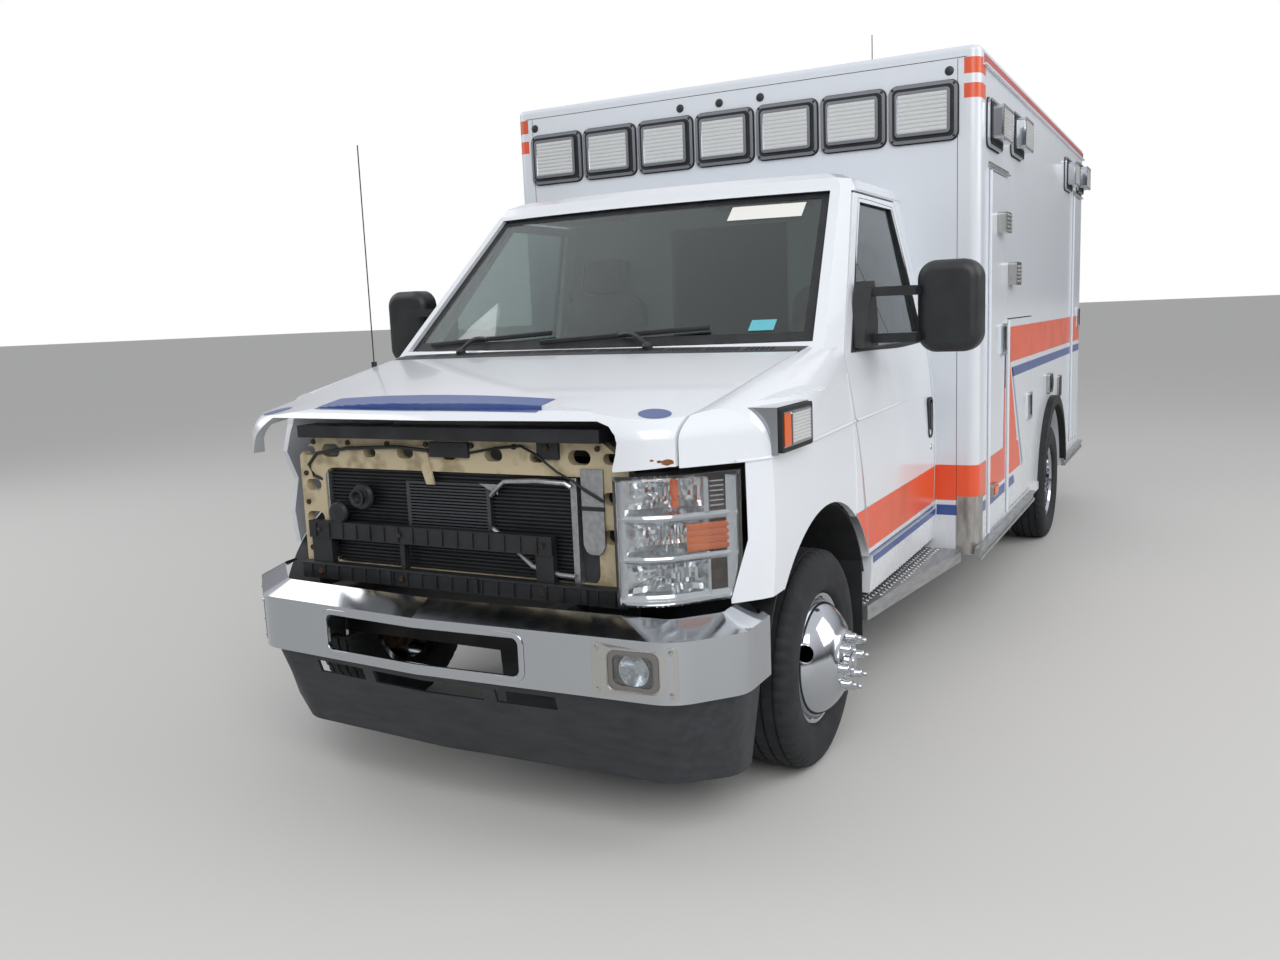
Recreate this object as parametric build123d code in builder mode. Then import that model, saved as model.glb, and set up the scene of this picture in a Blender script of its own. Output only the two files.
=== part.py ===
from build123d import *
from math import cos, radians, sin, sqrt
import os

# Ambulance on a cutaway van chassis with a box body behind the cab. Millimetres, Z up, front towards -Y,
# the driver's side towards +X. A station is a distance back from the front axle.

# Chassis
wheelbase = 4013.0
front_overhang = 930.0
rail_gauge = 860.0
rail_width = 70.0
rail_bottom = 520.0
rail_height = 180.0
rail_wall = 9.0
rail_front_station = -800.0
cross_member_stations = (-690.0, 0.0, 1200.0, 2400.0, 3300.0, 4760.0)
cross_member_length = 90.0
cross_member_height = 70.0

# Wheels
tyre_radius = 372.0
tyre_width = 229.0
bead_radius = 205.0
tyre_shoulder = 42.0
flange_radius = 222.0
rim_wall = 8.0
front_wheel_x = 881.5
kingpin_x = 790.0
rear_outer_x = 1093.0
dual_spacing = 252.0
lug_count = 8
hand_hole_count = 8
fit_clearance = 0.4

# Cab
side_sill_x = 998.0
side_waist_x = 1014.0
side_waist_height = 900.0
sill_bottom = 470.0
belt_x = 977.0
belt_height = 1385.0
cab_roof_x = 842.0
cab_rail_height = 2020.0
cab_top = 2098.0
cab_wall = 48.0
side_panel_depth = 88.0
door_gap = 9.0
door_bottom = 612.0
hood_gap = 7.0
hood_wall = 28.0
fender_wall = 22.0
seam_gap = 0.4

# Box body
body_front = 1584.0
body_length = 4009.0
body_half_width = 1197.0
body_top = 2645.0
body_skirt = 400.0
body_wall = 50.0
body_corner = 46.0
roof_depth = 50.0
floor_top = 840.0
floor_depth = 50.0
panel_gap = 6.0
arch_radius = 500.0
flare_width = 60.0
flare_reach = 38.0
rear_step_depth = 190.0

# Places worked out from the sizes above
overall_length = front_overhang + body_front + body_length + rear_step_depth
front_axle_y = front_overhang - overall_length / 2
rail_x = rail_gauge / 2
rail_top = rail_bottom + rail_height
body_rear = body_front + body_length
floor_bottom = floor_top - floor_depth
inner_half_width = body_half_width - body_wall
roof_bottom = body_top - roof_depth
flare_radius = arch_radius + flare_width


def at(station):
    return front_axle_y + station


def across(station):
    return Plane(origin=(0, at(station), 0), x_dir=(1, 0, 0), z_dir=(0, -1, 0))


def along(x):
    return Plane(origin=(x, 0, 0), x_dir=(0, 1, 0), z_dir=(1, 0, 0))


def level(z):
    return Plane.XY.offset(z)


def block(x_from, x_to, station_from, station_to, z_from, z_to):
    """A plain box between two corners."""
    with BuildPart(mode=Mode.PRIVATE) as solid:
        with BuildSketch(level(z_from)):
            with Locations(((x_from + x_to) / 2, at((station_from + station_to) / 2))):
                Rectangle(abs(x_to - x_from), station_to - station_from)
        extrude(amount=z_to - z_from)
    return solid.part


def side_prism(points, x_from, x_to):
    """An outline of (station, height) points, run across the vehicle."""
    with BuildPart(mode=Mode.PRIVATE) as solid:
        with BuildSketch(along(x_from)):
            with BuildLine():
                Polyline(*[(at(station), z) for station, z in points], close=True)
            make_face()
        extrude(amount=x_to - x_from)
    return solid.part


def front_prism(points, station_from, station_to):
    """An outline of (x, height) points, run along the vehicle."""
    with BuildPart(mode=Mode.PRIVATE) as solid:
        with BuildSketch(across(station_to)):
            with BuildLine():
                Polyline(*points, close=True)
            make_face()
        extrude(amount=station_to - station_from)
    return solid.part


def plan_prism(points, z_from, z_to):
    """An outline of (x, station) points, run upward."""
    with BuildPart(mode=Mode.PRIVATE) as solid:
        with BuildSketch(level(z_from)):
            with BuildLine():
                Polyline(*[(x, at(station)) for x, station in points], close=True)
            make_face()
        extrude(amount=z_to - z_from)
    return solid.part


def drum(x_from, x_to, station, z, radius):
    """A round bar or disc lying across the vehicle."""
    with BuildPart(mode=Mode.PRIVATE) as solid:
        with BuildSketch(along(x_from)):
            with Locations((at(station), z)):
                Circle(radius)
        extrude(amount=x_to - x_from)
    return solid.part


def post(x, station, z_from, z_to, radius):
    with BuildPart(mode=Mode.PRIVATE) as solid:
        with BuildSketch(level(z_from)):
            with Locations((x, at(station))):
                Circle(radius)
        extrude(amount=z_to - z_from)
    return solid.part


def other_side(solid):
    return mirror(solid, about=Plane.YZ, mode=Mode.PRIVATE)


def write(builder, name):
    builder.part.label = name
    export_step(builder.part, "parts/" + name + ".step")


os.makedirs("parts", exist_ok=True)

# Nose surface: sections across the hood and fenders.
# station, centre height, seam half width, seam height, shoulder half width, shoulder height
nose_sections = (
    (-870.0, 1284.0, 800.0, 1236.0, 1005.0, 1085.0),
    (-450.0, 1353.0, 850.0, 1302.0, 1010.0, 1168.0),
    (0.0, 1426.0, 878.0, 1389.0, 1006.0, 1250.0),
    (310.0, 1476.0, 905.0, 1437.0, belt_x, belt_height),
)
nose_bottom = 560.0
nose_roll = 90.0
nose_roll_height = 1195.0
# half width, station of the plan of the nose, from the side to the middle of the front
nose_plan = ((1150.0, 400.0), (1045.0, -300.0), (1022.0, -500.0), (765.0, -800.0))
nose_tip = -838.0
nose_corner = 240.0
quarter = sin(radians(45))


def nose_outline(z, inset):
    """Plan of the nose at one height, drawn in by the inset."""
    with BuildSketch(level(z), mode=Mode.PRIVATE) as sketch:
        side = [(x - inset, at(station + (inset if station < -700 else 0))) for x, station in nose_plan]
        with BuildLine():
            Polyline(*side, (0, at(nose_tip + inset)), *[(-x, y) for x, y in reversed(side)], close=True)
        make_face()
        corners = [v for v in sketch.vertices() if at(-850) < v.Y < at(-400) and abs(v.X) > 500]
        fillet(corners, nose_corner)
    return sketch.sketch


def nose_volume(inset):
    """The whole nose as one solid, drawn in by the inset."""
    with BuildPart(mode=Mode.PRIVATE) as volume:
        for station, centre_z, seam_x, seam_z, shoulder_x, shoulder_z in nose_sections:
            with BuildSketch(across(station)):
                top = (0, centre_z - inset)
                seam = (seam_x - inset, seam_z - inset)
                shoulder = (shoulder_x - inset, shoulder_z - inset)
                roll = (
                    seam[0] + quarter * (shoulder[0] - seam[0]),
                    shoulder[1] + quarter * (seam[1] - shoulder[1]),
                )
                waist = (side_waist_x - inset, side_waist_height)
                sill = (side_sill_x - inset, nose_bottom)
                with BuildLine():
                    ThreePointArc((-seam[0], seam[1]), top, seam)
                    ThreePointArc(seam, roll, shoulder)
                    ThreePointArc(shoulder, waist, sill)
                    Line(sill, (-sill[0], sill[1]))
                    ThreePointArc((-sill[0], sill[1]), (-waist[0], waist[1]), (-shoulder[0], shoulder[1]))
                    ThreePointArc((-shoulder[0], shoulder[1]), (-roll[0], roll[1]), (-seam[0], seam[1]))
                make_face()
        loft()
    with BuildPart(mode=Mode.PRIVATE) as plan:
        add(nose_outline(nose_bottom - 10, inset))
        extrude(amount=nose_roll_height - nose_bottom + 10)
    with BuildPart(mode=Mode.PRIVATE) as roll_cap:
        for turn in (0, 35, 65, 90):
            rise = nose_roll * sin(radians(turn))
            draw_in = nose_roll * (1 - cos(radians(turn)))
            add(nose_outline(nose_roll_height + rise, inset + draw_in))
        loft()
    with BuildPart(mode=Mode.PRIVATE) as high:
        add(nose_outline(nose_roll_height + nose_roll, inset + nose_roll))
        extrude(amount=300)
    with BuildPart(mode=Mode.PRIVATE) as envelope:
        add(plan.part)
        add(roll_cap.part)
        add(high.part)
    with BuildPart(mode=Mode.PRIVATE) as nose:
        add(volume.part)
        add(envelope.part, mode=Mode.INTERSECT)
    return nose.part


# Greenhouse: plan outlines at the belt and at the roof rail.
# height, half width at the side, windshield corner x, corner station, middle station, door pillar station
belt_outline = (belt_height, belt_x, 944.0, 171.0, -6.0, 300.0)
rail_outline = (cab_rail_height, cab_roof_x, 809.0, 825.0, 745.0, 905.0)
windshield_slope = 1.55
cab_roof_roll = 62.0


def greenhouse_volume(inset, back):
    """Upper cab as one solid, drawn in by the inset, run back to the station given."""
    with BuildPart(mode=Mode.PRIVATE) as volume:
        for z, side_x, corner_x, corner_station, middle_station, pillar_station in (belt_outline,
                                                                                    rail_outline):
            push = inset * windshield_slope
            corner = (corner_x - inset, at(corner_station + push))
            middle = (0, at(middle_station + push))
            with BuildSketch(level(z)):
                with BuildLine():
                    ThreePointArc((-corner[0], corner[1]), middle, corner)
                    Line(corner, (side_x - inset, at(pillar_station + inset)))
                    Line((side_x - inset, at(pillar_station + inset)), (side_x - inset, at(back)))
                    Line((side_x - inset, at(back)), (inset - side_x, at(back)))
                    Line((inset - side_x, at(back)), (inset - side_x, at(pillar_station + inset)))
                    Line((inset - side_x, at(pillar_station + inset)), (-corner[0], corner[1]))
                make_face()
        loft(ruled=True)
    with BuildPart(mode=Mode.PRIVATE) as roof:
        z, side_x, corner_x, corner_station, middle_station, pillar_station = rail_outline
        rise_total = cab_top - inset - z
        for share, draw_in in ((0.0, 0.0), (0.45, 22.0), (0.8, 80.0), (1.0, 300.0)):
            push = (inset + draw_in) * 1.15
            corner = (corner_x - inset - draw_in, at(corner_station + push))
            middle = (0, at(middle_station + push))
            edge = side_x - inset - draw_in
            with BuildSketch(level(z + rise_total * share)):
                with BuildLine():
                    ThreePointArc((-corner[0], corner[1]), middle, corner)
                    Line(corner, (edge, at(pillar_station + push)))
                    Line((edge, at(pillar_station + push)), (edge, at(back)))
                    Line((edge, at(back)), (-edge, at(back)))
                    Line((-edge, at(back)), (-edge, at(pillar_station + push)))
                    Line((-edge, at(pillar_station + push)), (-corner[0], corner[1]))
                make_face()
        loft(ruled=True)
    with BuildPart(mode=Mode.PRIVATE) as cab:
        add(volume.part)
        add(roof.part)
    return cab.part


def side_panel_volume(depth, z_from, station_from, station_to):
    """Lower side panel of the driver's side, from its curved skin in to a flat inner face."""
    inner_x = side_waist_x - depth
    with BuildPart(mode=Mode.PRIVATE) as volume:
        with BuildSketch(across(station_to)):
            with BuildLine():
                ThreePointArc((side_sill_x, sill_bottom), (side_waist_x, side_waist_height),
                              (belt_x, belt_height))
                Line((belt_x, belt_height), (inner_x, belt_height))
                Line((inner_x, belt_height), (inner_x, sill_bottom))
                Line((inner_x, sill_bottom), (side_sill_x, sill_bottom))
            make_face()
        extrude(amount=station_to - station_from)
        add(block(0, 2000, station_from, station_to, z_from, belt_height), mode=Mode.INTERSECT)
    return volume.part


nose_outer = nose_volume(0)
nose_hood_inner = nose_volume(hood_wall)
nose_fender_inner = nose_volume(fender_wall)
cab_outer = greenhouse_volume(0, body_front)
cab_inner = greenhouse_volume(cab_wall, body_front + 60)

# Door outline on the driver's side: station, height
door_rear = 1536.0
door_outline = (
    (478.0, door_bottom), (350.0, 1150.0), (300.0, belt_height), (872.0, 2004.0),
    (1476.0, 2004.0), (door_rear, 1380.0), (door_rear, door_bottom),
)
window_outline = ((402.0, 1392.0), (932.0, 1962.0), (1410.0, 1962.0), (1462.0, 1392.0))
arch_front_radius = 533.0


def shrink(points, amount):
    """Draw an outline of (station, height) points in by the amount."""
    with BuildSketch(mode=Mode.PRIVATE) as sketch:
        with BuildLine():
            Polyline(*points, close=True)
        make_face()
        offset(amount=-amount, kind=Kind.INTERSECTION)
    loop = sketch.face().outer_wire().vertices()
    middle = (sum(v.X for v in loop) / len(loop), sum(v.Y for v in loop) / len(loop))
    return sorted([(v.X, v.Y) for v in loop],
                  key=lambda p: Vector(p[0] - middle[0], p[1] - middle[1]).get_signed_angle(Vector(1, 0)))


door_cut = side_prism(door_outline, 500, 1200)
door_prism = side_prism(shrink(door_outline, door_gap), 500, 1200)
window_cut = side_prism(window_outline, 400, 1200)
window_pane = side_prism(shrink(window_outline, seam_gap), 400, 1200)

# Cab doors
with BuildPart() as cab_door_left:
    add(side_panel_volume(side_panel_depth, door_bottom, 300, door_rear))
    with BuildPart(mode=Mode.PRIVATE) as upper:
        add(cab_outer)
        add(cab_inner, mode=Mode.SUBTRACT)
        add(block(0, 2000, 150, body_front, belt_height, cab_rail_height), mode=Mode.INTERSECT)
    add(upper.part)
    add(door_prism, mode=Mode.INTERSECT)
    add(window_cut, mode=Mode.SUBTRACT)
write(cab_door_left, "cab_door_left")

with BuildPart() as cab_door_right:
    add(other_side(cab_door_left.part))
write(cab_door_right, "cab_door_right")

pane_outer = greenhouse_volume(16, body_front)
pane_inner = greenhouse_volume(22, body_front + 60)
with BuildPart() as door_glass_left:
    add(pane_outer)
    add(pane_inner, mode=Mode.SUBTRACT)
    add(window_pane, mode=Mode.INTERSECT)
    add(block(0, 2000, 300, door_rear, belt_height, cab_rail_height), mode=Mode.INTERSECT)
write(door_glass_left, "door_glass_left")
with BuildPart() as door_glass_right:
    add(other_side(door_glass_left.part))
write(door_glass_right, "door_glass_right")

# Hood and the seam beside it: half width, station
seam_line = ((800.0, -900.0), (838.0, -600.0), (884.0, 98.0), (892.0, 420.0))
hood_rear_middle = -52.0
hood_lip = 1258.0
# x, height of the lower edge of the hood's front: on the driver's side a lobe reaches down to the headlamp,
# and on the other side that lobe is bent away
lip_line = ((598.0, hood_lip), (640.0, 1245.0), (664.0, 1221.0), (671.0, 1200.0), (665.0, 1165.0),
            (654.0, 1128.0), (654.0, 1118.0), (806.0, 1130.0), (900.0, 1126.0))
bent_lip_line = ((668.0, hood_lip), (752.0, 1190.0), (806.0, 1130.0), (900.0, 1126.0))
lamp_outline = ((648.0, 730.0), (648.0, 1106.0), (806.0, 1120.0), (958.0, 1118.0), (960.0, 898.0),
                (922.0, 730.0))
lamp_depth = 120.0


def hood_plan(clearance, rear_clearance):
    """Upright prism over the hood, its sides along the seams and its rear edge bowed."""
    side = [(x - clearance, at(station)) for x, station in seam_line[:2]]
    rear = (seam_line[2][0] - clearance, at(seam_line[2][1] - rear_clearance))
    with BuildPart(mode=Mode.PRIVATE) as solid:
        with BuildSketch(level(900)):
            with BuildLine():
                Polyline((-rear[0], rear[1]), (-side[1][0], side[1][1]), (-side[0][0], side[0][1]), side[0],
                         side[1], rear)
                ThreePointArc(rear, (0, at(hood_rear_middle - rear_clearance)), (-rear[0], rear[1]))
            make_face()
        extrude(amount=700)
    return solid.part


def seam_plan(clearance):
    """Upright prism between the seams beside the hood and the cowl, all the way back."""
    half = [(x - clearance, station) for x, station in seam_line]
    return plan_prism(half + [(-x, station) for x, station in reversed(half)], 900, 1600)


# Gooseneck arms under the hood's rear edge, each beside a plate hung from the cowl
hinge_arm_x = 700.0
hinge_plate = 6.0
running_gap = 0.3
# station, height
hinge_arm = ((-60.0, 1450.0), (-60.0, 1350.0), (5.0, 1330.0), (117.0, 1330.0), (117.0, 1346.0),
             (36.0, 1346.0), (30.0, 1360.0), (30.0, 1450.0))
hinge_bracket = (84.0, 117.0, 1330.0, 1395.0)
hood_front_cut = front_prism(
    lip_line + ((900.0, 500.0), (-900.0, 500.0)) + tuple((-x, z) for x, z in reversed(bent_lip_line)),
    -1000, -430
)
with BuildPart() as hood:
    add(nose_outer)
    add(nose_hood_inner, mode=Mode.SUBTRACT)
    add(hood_plan(hood_gap / 2, 0), mode=Mode.INTERSECT)
    add(block(-1000, 1000, -1000, 300, 1050, 1600), mode=Mode.INTERSECT)
    add(hood_front_cut, mode=Mode.SUBTRACT)
    for side in (-1, 1):
        arm = side_prism(hinge_arm, min(side * hinge_arm_x, side * (hinge_arm_x + hinge_plate)),
                         max(side * hinge_arm_x, side * (hinge_arm_x + hinge_plate)))
        with BuildPart(mode=Mode.PRIVATE) as seated_arm:
            add(arm)
            add(nose_hood_inner, mode=Mode.INTERSECT)
        add(seated_arm.part)
write(hood, "hood")

# Fenders: skin outside the hood seam, behind the headlamp, ahead of the door and clear of the wheel
fender_bottom = 716.0
fender_side = (
    (-900.0, fender_bottom), (150.0, fender_bottom), (150.0, door_bottom), (478.0, door_bottom),
    (350.0, 1150.0), (300.0, belt_height), (290.0, 1600.0), (-900.0, 1600.0),
)
fender_front_cut = front_prism(((-50.0, 500.0), (922.0 + seam_gap, 500.0)) + tuple(
    (x + seam_gap, z) for x, z in (lamp_outline[5], lamp_outline[4])
) + ((958.0 + seam_gap, 1124.0), (806.0, 1124.0), (752.0, 1190.0), (700.0, 1600.0), (-50.0, 1600.0)), -1000,
                               -480)
with BuildPart() as fender_left:
    add(nose_outer)
    add(nose_fender_inner, mode=Mode.SUBTRACT)
    add(side_prism(fender_side, 20, 1200), mode=Mode.INTERSECT)
    add(seam_plan(-hood_gap / 2), mode=Mode.SUBTRACT)
    add(fender_front_cut, mode=Mode.SUBTRACT)
    add(drum(500, 1300, 0, tyre_radius, arch_front_radius), mode=Mode.SUBTRACT)
    add(cab_outer, mode=Mode.SUBTRACT)
write(fender_left, "fender_left")

# The other fender has lost its front, ahead of the wheel
torn_edge = ((-392.0, 700.0), (-405.0, 860.0), (-372.0, 980.0), (-420.0, 1090.0), (-388.0, 1190.0),
             (-430.0, 1600.0))
with BuildPart() as fender_right:
    add(other_side(fender_left.part))
    add(side_prism(torn_edge + ((-1000.0, 1600.0), (-1000.0, 700.0)), -1200, 0), mode=Mode.SUBTRACT)
write(fender_right, "fender_right")

# Headlamp, one only: the driver's side
with BuildPart() as headlamp:
    add(nose_outer)
    add(front_prism(lamp_outline, -1000, -400), mode=Mode.INTERSECT)
    add(plan_prism(((600.0, -1000.0), (600.0, -690.0), (648.0, -690.0), (1000.0, -455.0), (1000.0, -1000.0)),
                   500, 1300),
        mode=Mode.INTERSECT)

# Windshield and the cab's fixed frame
glass_bottom = 1436.0
glass_outline = ((-896.0, glass_bottom), (896.0, glass_bottom), (776.0, 2002.0), (-776.0, 2002.0))
glass_cut = front_prism(glass_outline, -100, 960)
pillar_panel = side_panel_volume(side_panel_depth, sill_bottom, door_rear, body_front)
rocker_front = sqrt(arch_front_radius ** 2 - (sill_bottom - tyre_radius) ** 2) + seam_gap
rocker_panel = block(0, 2000, rocker_front, body_front, sill_bottom, door_bottom) & side_panel_volume(
    side_panel_depth, sill_bottom, rocker_front, body_front)
with BuildPart() as windshield:
    add(pane_outer)
    add(pane_inner, mode=Mode.SUBTRACT)
    add(front_prism(tuple((x - seam_gap if x > 0 else x + seam_gap, z) for x, z in glass_outline), -100, 960),
        mode=Mode.INTERSECT)
write(windshield, "windshield")

with BuildPart() as cab_frame:
    add(cab_outer)
    add(cab_inner, mode=Mode.SUBTRACT)
    add(glass_cut, mode=Mode.SUBTRACT)
    for panel in (pillar_panel, rocker_panel):
        add(panel)
        add(other_side(panel))
    add(door_cut, mode=Mode.SUBTRACT)
    add(other_side(door_cut), mode=Mode.SUBTRACT)
write(cab_frame, "cab_frame")

# Cowl between the hood and the windshield, with its air slots
cowl_slot_pitch = 17.0
cowl_slot_width = 6.0
cowl_slots_per_side = 46
cowl_depth = 26.0
with BuildPart() as cowl_grille:
    add(nose_outer)
    add(nose_volume(cowl_depth), mode=Mode.SUBTRACT)
    add(seam_plan(-hood_gap / 2 + seam_gap), mode=Mode.INTERSECT)
    add(block(-2000, 2000, -100, 400, 1300, 1600), mode=Mode.INTERSECT)
    add(hood_plan(-hood_gap, -hood_gap), mode=Mode.SUBTRACT)
    add(cab_outer, mode=Mode.SUBTRACT)
    with BuildSketch(level(1300)):
        with Locations(*[(x * cowl_slot_pitch, at(18 + 0.00017 * (x * cowl_slot_pitch) ** 2))
                         for x in range(-cowl_slots_per_side, cowl_slots_per_side + 1) if x % 8]):
            Rectangle(cowl_slot_width, 46)
    extrude(amount=300, mode=Mode.SUBTRACT)
    bracket_x = hinge_arm_x + hinge_plate + running_gap
    with BuildPart(mode=Mode.PRIVATE) as brackets:
        for side in (-1, 1):
            add(block(side * bracket_x, side * (bracket_x + hinge_plate), *hinge_bracket))
        add(cab_outer, mode=Mode.SUBTRACT)
    add(brackets.part)
write(cowl_grille, "cowl_grille")

# Front bumper: half width, station of its plan
bumper_plan = ((1009.0, -539.0), (1009.0, -720.0), (860.0, -890.0))
# The end on the other side is pushed back and in
bumper_bent_plan = ((955.0, -520.0), (935.0, -650.0), (672.0, -884.0))
bumper_plans = (bumper_plan, bumper_bent_plan)
bumper_shoulder = 668.0
bumper_top = 710.0
bumper_bottom = 490.0
bumper_wall = 9.0
bumper_ledge = 84.0
bumper_lip = 36.0
bumper_corner_radii = (110.0, 150.0)
intake_half_width = 373.0
intake_bottom = 522.0
intake_top = 638.0
fog_lamp_x = 742.0
fog_lamp_z = 578.0
fog_lamp_width = 158.0
fog_lamp_height = 116.0
fog_lamp_depth = 75.0
fog_lamp_corner = 26.0


def drawn_in(plan, tip, inset):
    """Half a plan moved inward by an inset, its first point straight across and its last on the middle line."""
    points = [*plan, (0.0, tip)]
    inward = []
    for a, b in zip(points, points[1:]):
        length = sqrt((b[0] - a[0]) ** 2 + (b[1] - a[1]) ** 2)
        inward.append(((b[1] - a[1]) / length, (a[0] - b[0]) / length))
    moved = [(points[0][0] + inset / inward[0][0], points[0][1])]
    for corner, a, b in zip(points[1:], inward, inward[1:]):
        reach = inset / (1 + a[0] * b[0] + a[1] * b[1])
        moved.append((corner[0] + (a[0] + b[0]) * reach, corner[1] + (a[1] + b[1]) * reach))
    return moved + [(0.0, tip + inset / inward[-1][1])]


def bow_outline(z, plans, tip, radii, inset):
    """Plan of a bowed front piece at one height, from its two halves: the driver's side, then the other."""
    near, far = [[(x, at(station)) for x, station in drawn_in(plan, tip, inset)] for plan in plans]
    far = [(-x, y) for x, y in far]
    with BuildSketch(level(z), mode=Mode.PRIVATE) as sketch:
        with BuildLine():
            Polyline(*near, *reversed(far[:-1]), close=True)
        make_face()
        for half in (near, far):
            for corner, radius in zip(half[1:3], radii):
                ends = [v for v in sketch.vertices() if abs(v.Y - corner[1]) < 0.5 and abs(v.X - corner[0]) < 0.5]
                fillet(ends, max(radius - inset, 20))
    return sketch.sketch


def bow_prism(z_from, z_to, inset):
    """The bumper's plan drawn in, from one height to another."""
    with BuildPart(mode=Mode.PRIVATE) as prism:
        add(bow_outline(z_from, bumper_plans, -front_overhang, bumper_corner_radii, inset))
        extrude(amount=z_to - z_from)
    return prism.part


def bumper_shelf(drop):
    """Solid under the bumper's top, which slopes up and back from its shoulder, lowered by a drop."""
    with BuildPart(mode=Mode.PRIVATE) as shelf:
        for z, inset in ((bumper_shoulder, 0), (bumper_top, bumper_ledge)):
            add(bow_outline(z - drop, bumper_plans, -front_overhang, bumper_corner_radii, inset))
        loft(ruled=True)
    return shelf.part


# Where the bent end's flat face carries the other fog lamp
bent_from, bent_to = [Vector(-x, at(station), fog_lamp_z) for x, station in bumper_bent_plan[1:]]
bent_run = (bent_from - bent_to).normalized()
bent_face = Plane(origin=(bent_from + bent_to) / 2, x_dir=bent_run, z_dir=bent_run.rotate(Axis.Z, 90))
bumper_reach = block(-2000, 2000, -2000, bumper_plan[0][1], 400, 800)
with BuildPart() as front_bumper:
    add(bumper_shelf(0))
    add(bumper_shelf(bumper_wall), mode=Mode.SUBTRACT)
    add(bow_prism(bumper_shoulder - 1, bumper_top + 1, bumper_ledge + 1), mode=Mode.SUBTRACT)
    add(bow_prism(bumper_bottom, bumper_shoulder, 0))
    add(bow_prism(bumper_bottom + bumper_wall, bumper_shoulder, bumper_wall), mode=Mode.SUBTRACT)
    add(bow_prism(bumper_bottom, bumper_bottom + bumper_wall, bumper_lip), mode=Mode.SUBTRACT)
    add(bumper_reach, mode=Mode.INTERSECT)
    with BuildSketch(across(-front_overhang + 200)):
        with Locations((0, (intake_bottom + intake_top) / 2)):
            RectangleRounded(2 * intake_half_width, intake_top - intake_bottom, 22)
        with Locations((fog_lamp_x, fog_lamp_z)):
            RectangleRounded(fog_lamp_width, fog_lamp_height, fog_lamp_corner)
    extrude(amount=300, mode=Mode.SUBTRACT)
    with BuildSketch(bent_face.offset(fog_lamp_depth)):
        RectangleRounded(fog_lamp_width, fog_lamp_height, fog_lamp_corner)
    extrude(amount=-2 * fog_lamp_depth, mode=Mode.SUBTRACT)
    for x in (-rail_x, rail_x):
        add(block(x - 45, x + 45, rail_front_station - 12, rail_front_station, rail_bottom + 20,
                  bumper_top - bumper_wall))
        add(block(x - 45, x + 45, -front_overhang + bumper_ledge + 14, rail_front_station,
                  bumper_top - 2 * bumper_wall, bumper_top - bumper_wall))
write(front_bumper, "front_bumper")

# Lamps at the front: the headlamp, and fog lamps seated in the bumper's openings
with BuildPart() as front_lamps:
    add(headlamp.part)
    with BuildSketch(across(-820)):
        with Locations((fog_lamp_x, fog_lamp_z)):
            RectangleRounded(fog_lamp_width - 2 * seam_gap, fog_lamp_height - 2 * seam_gap,
                             fog_lamp_corner - seam_gap)
    extrude(amount=fog_lamp_depth)
    with BuildSketch(bent_face.offset(-4)):
        RectangleRounded(fog_lamp_width - 2 * seam_gap, fog_lamp_height - 2 * seam_gap,
                         fog_lamp_corner - seam_gap)
    extrude(amount=-fog_lamp_depth)
write(front_lamps, "front_lamps")

# Air dam under the bumper
dam_plans = (((985.0, -560.0), (985.0, -712.0), (846.0, -868.0)),
             ((930.0, -520.0), (908.0, -640.0), (652.0, -860.0)))
dam_foot_plans = (((948.0, -560.0), (948.0, -652.0), (800.0, -788.0)),
                  ((893.0, -520.0), (868.0, -588.0), (600.0, -778.0)))
dam_tip = -912.0
dam_foot_tip = -815.0
dam_bottom = 212.0
dam_wall = 11.0
dam_slots = ((-470.0, -260.0), (-215.0, 215.0), (260.0, 470.0))
with BuildPart() as air_dam:
    add(bow_outline(bumper_bottom, dam_plans, dam_tip, (100.0, 140.0), 0))
    add(bow_outline(dam_bottom, dam_foot_plans, dam_foot_tip, (100.0, 140.0), 0))
    loft(ruled=True)
    add(bow_outline(bumper_bottom, dam_plans, dam_tip, (100.0, 140.0), dam_wall))
    add(bow_outline(dam_bottom, dam_foot_plans, dam_foot_tip, (100.0, 140.0), dam_wall))
    loft(ruled=True, mode=Mode.SUBTRACT)
    for x_from, x_to in dam_slots:
        add(block(x_from, x_to, -1000, -750, 418, 462), mode=Mode.SUBTRACT)
write(air_dam, "air_dam")

# Radiator support: a stamped frame on the rails, with holes in its tie bar and posts
support_half_width = 645.0
support_top = 1190.0
support_rear = -660.0
support_depth = 34.0
support_window_half = 535.0
support_window_bottom = 752.0
support_window_top = 1082.0
support_holes = ((-600.0, 1138.0, 22.0), (-500.0, 1140.0, 30.0), (-330.0, 1136.0, 20.0),
                 (-180.0, 1140.0, 26.0),
                 (0.0, 1136.0, 20.0), (170.0, 1140.0, 26.0), (330.0, 1136.0, 20.0), (480.0, 1140.0, 30.0),
                 (590.0, 1138.0, 22.0), (-590.0, 1020.0, 26.0), (-592.0, 905.0, 30.0), (590.0, 1020.0, 26.0),
                 (592.0, 905.0, 30.0))
with BuildPart() as radiator_support:
    with BuildSketch(across(support_rear)):
        with BuildLine():
            Polyline((-support_half_width, rail_top), (support_half_width, rail_top),
                     (support_half_width, 1120),
                     (support_half_width - 90, support_top), (90 - support_half_width, support_top),
                     (-support_half_width, 1120), close=True)
        make_face()
        with Locations((0, (support_window_bottom + support_window_top) / 2)):
            RectangleRounded(2 * support_window_half, support_window_top - support_window_bottom, 40,
                             mode=Mode.SUBTRACT)
        for x, z, radius in support_holes:
            with Locations((x, z)):
                SlotOverall(radius * 2.6, radius * 1.5, mode=Mode.SUBTRACT)
    extrude(amount=support_depth)
    add(front_prism(((-137.0, 1163.0), (-90.0, 1163.0), (-62.0, 1040.0), (-95.0, 1040.0)),
                    support_rear - support_depth - 6, support_rear - support_depth))
    for x in (-rail_x, rail_x):
        add(block(x - 30, x + 30, support_rear, support_rear + 60, rail_top, rail_top + 8))
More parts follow.
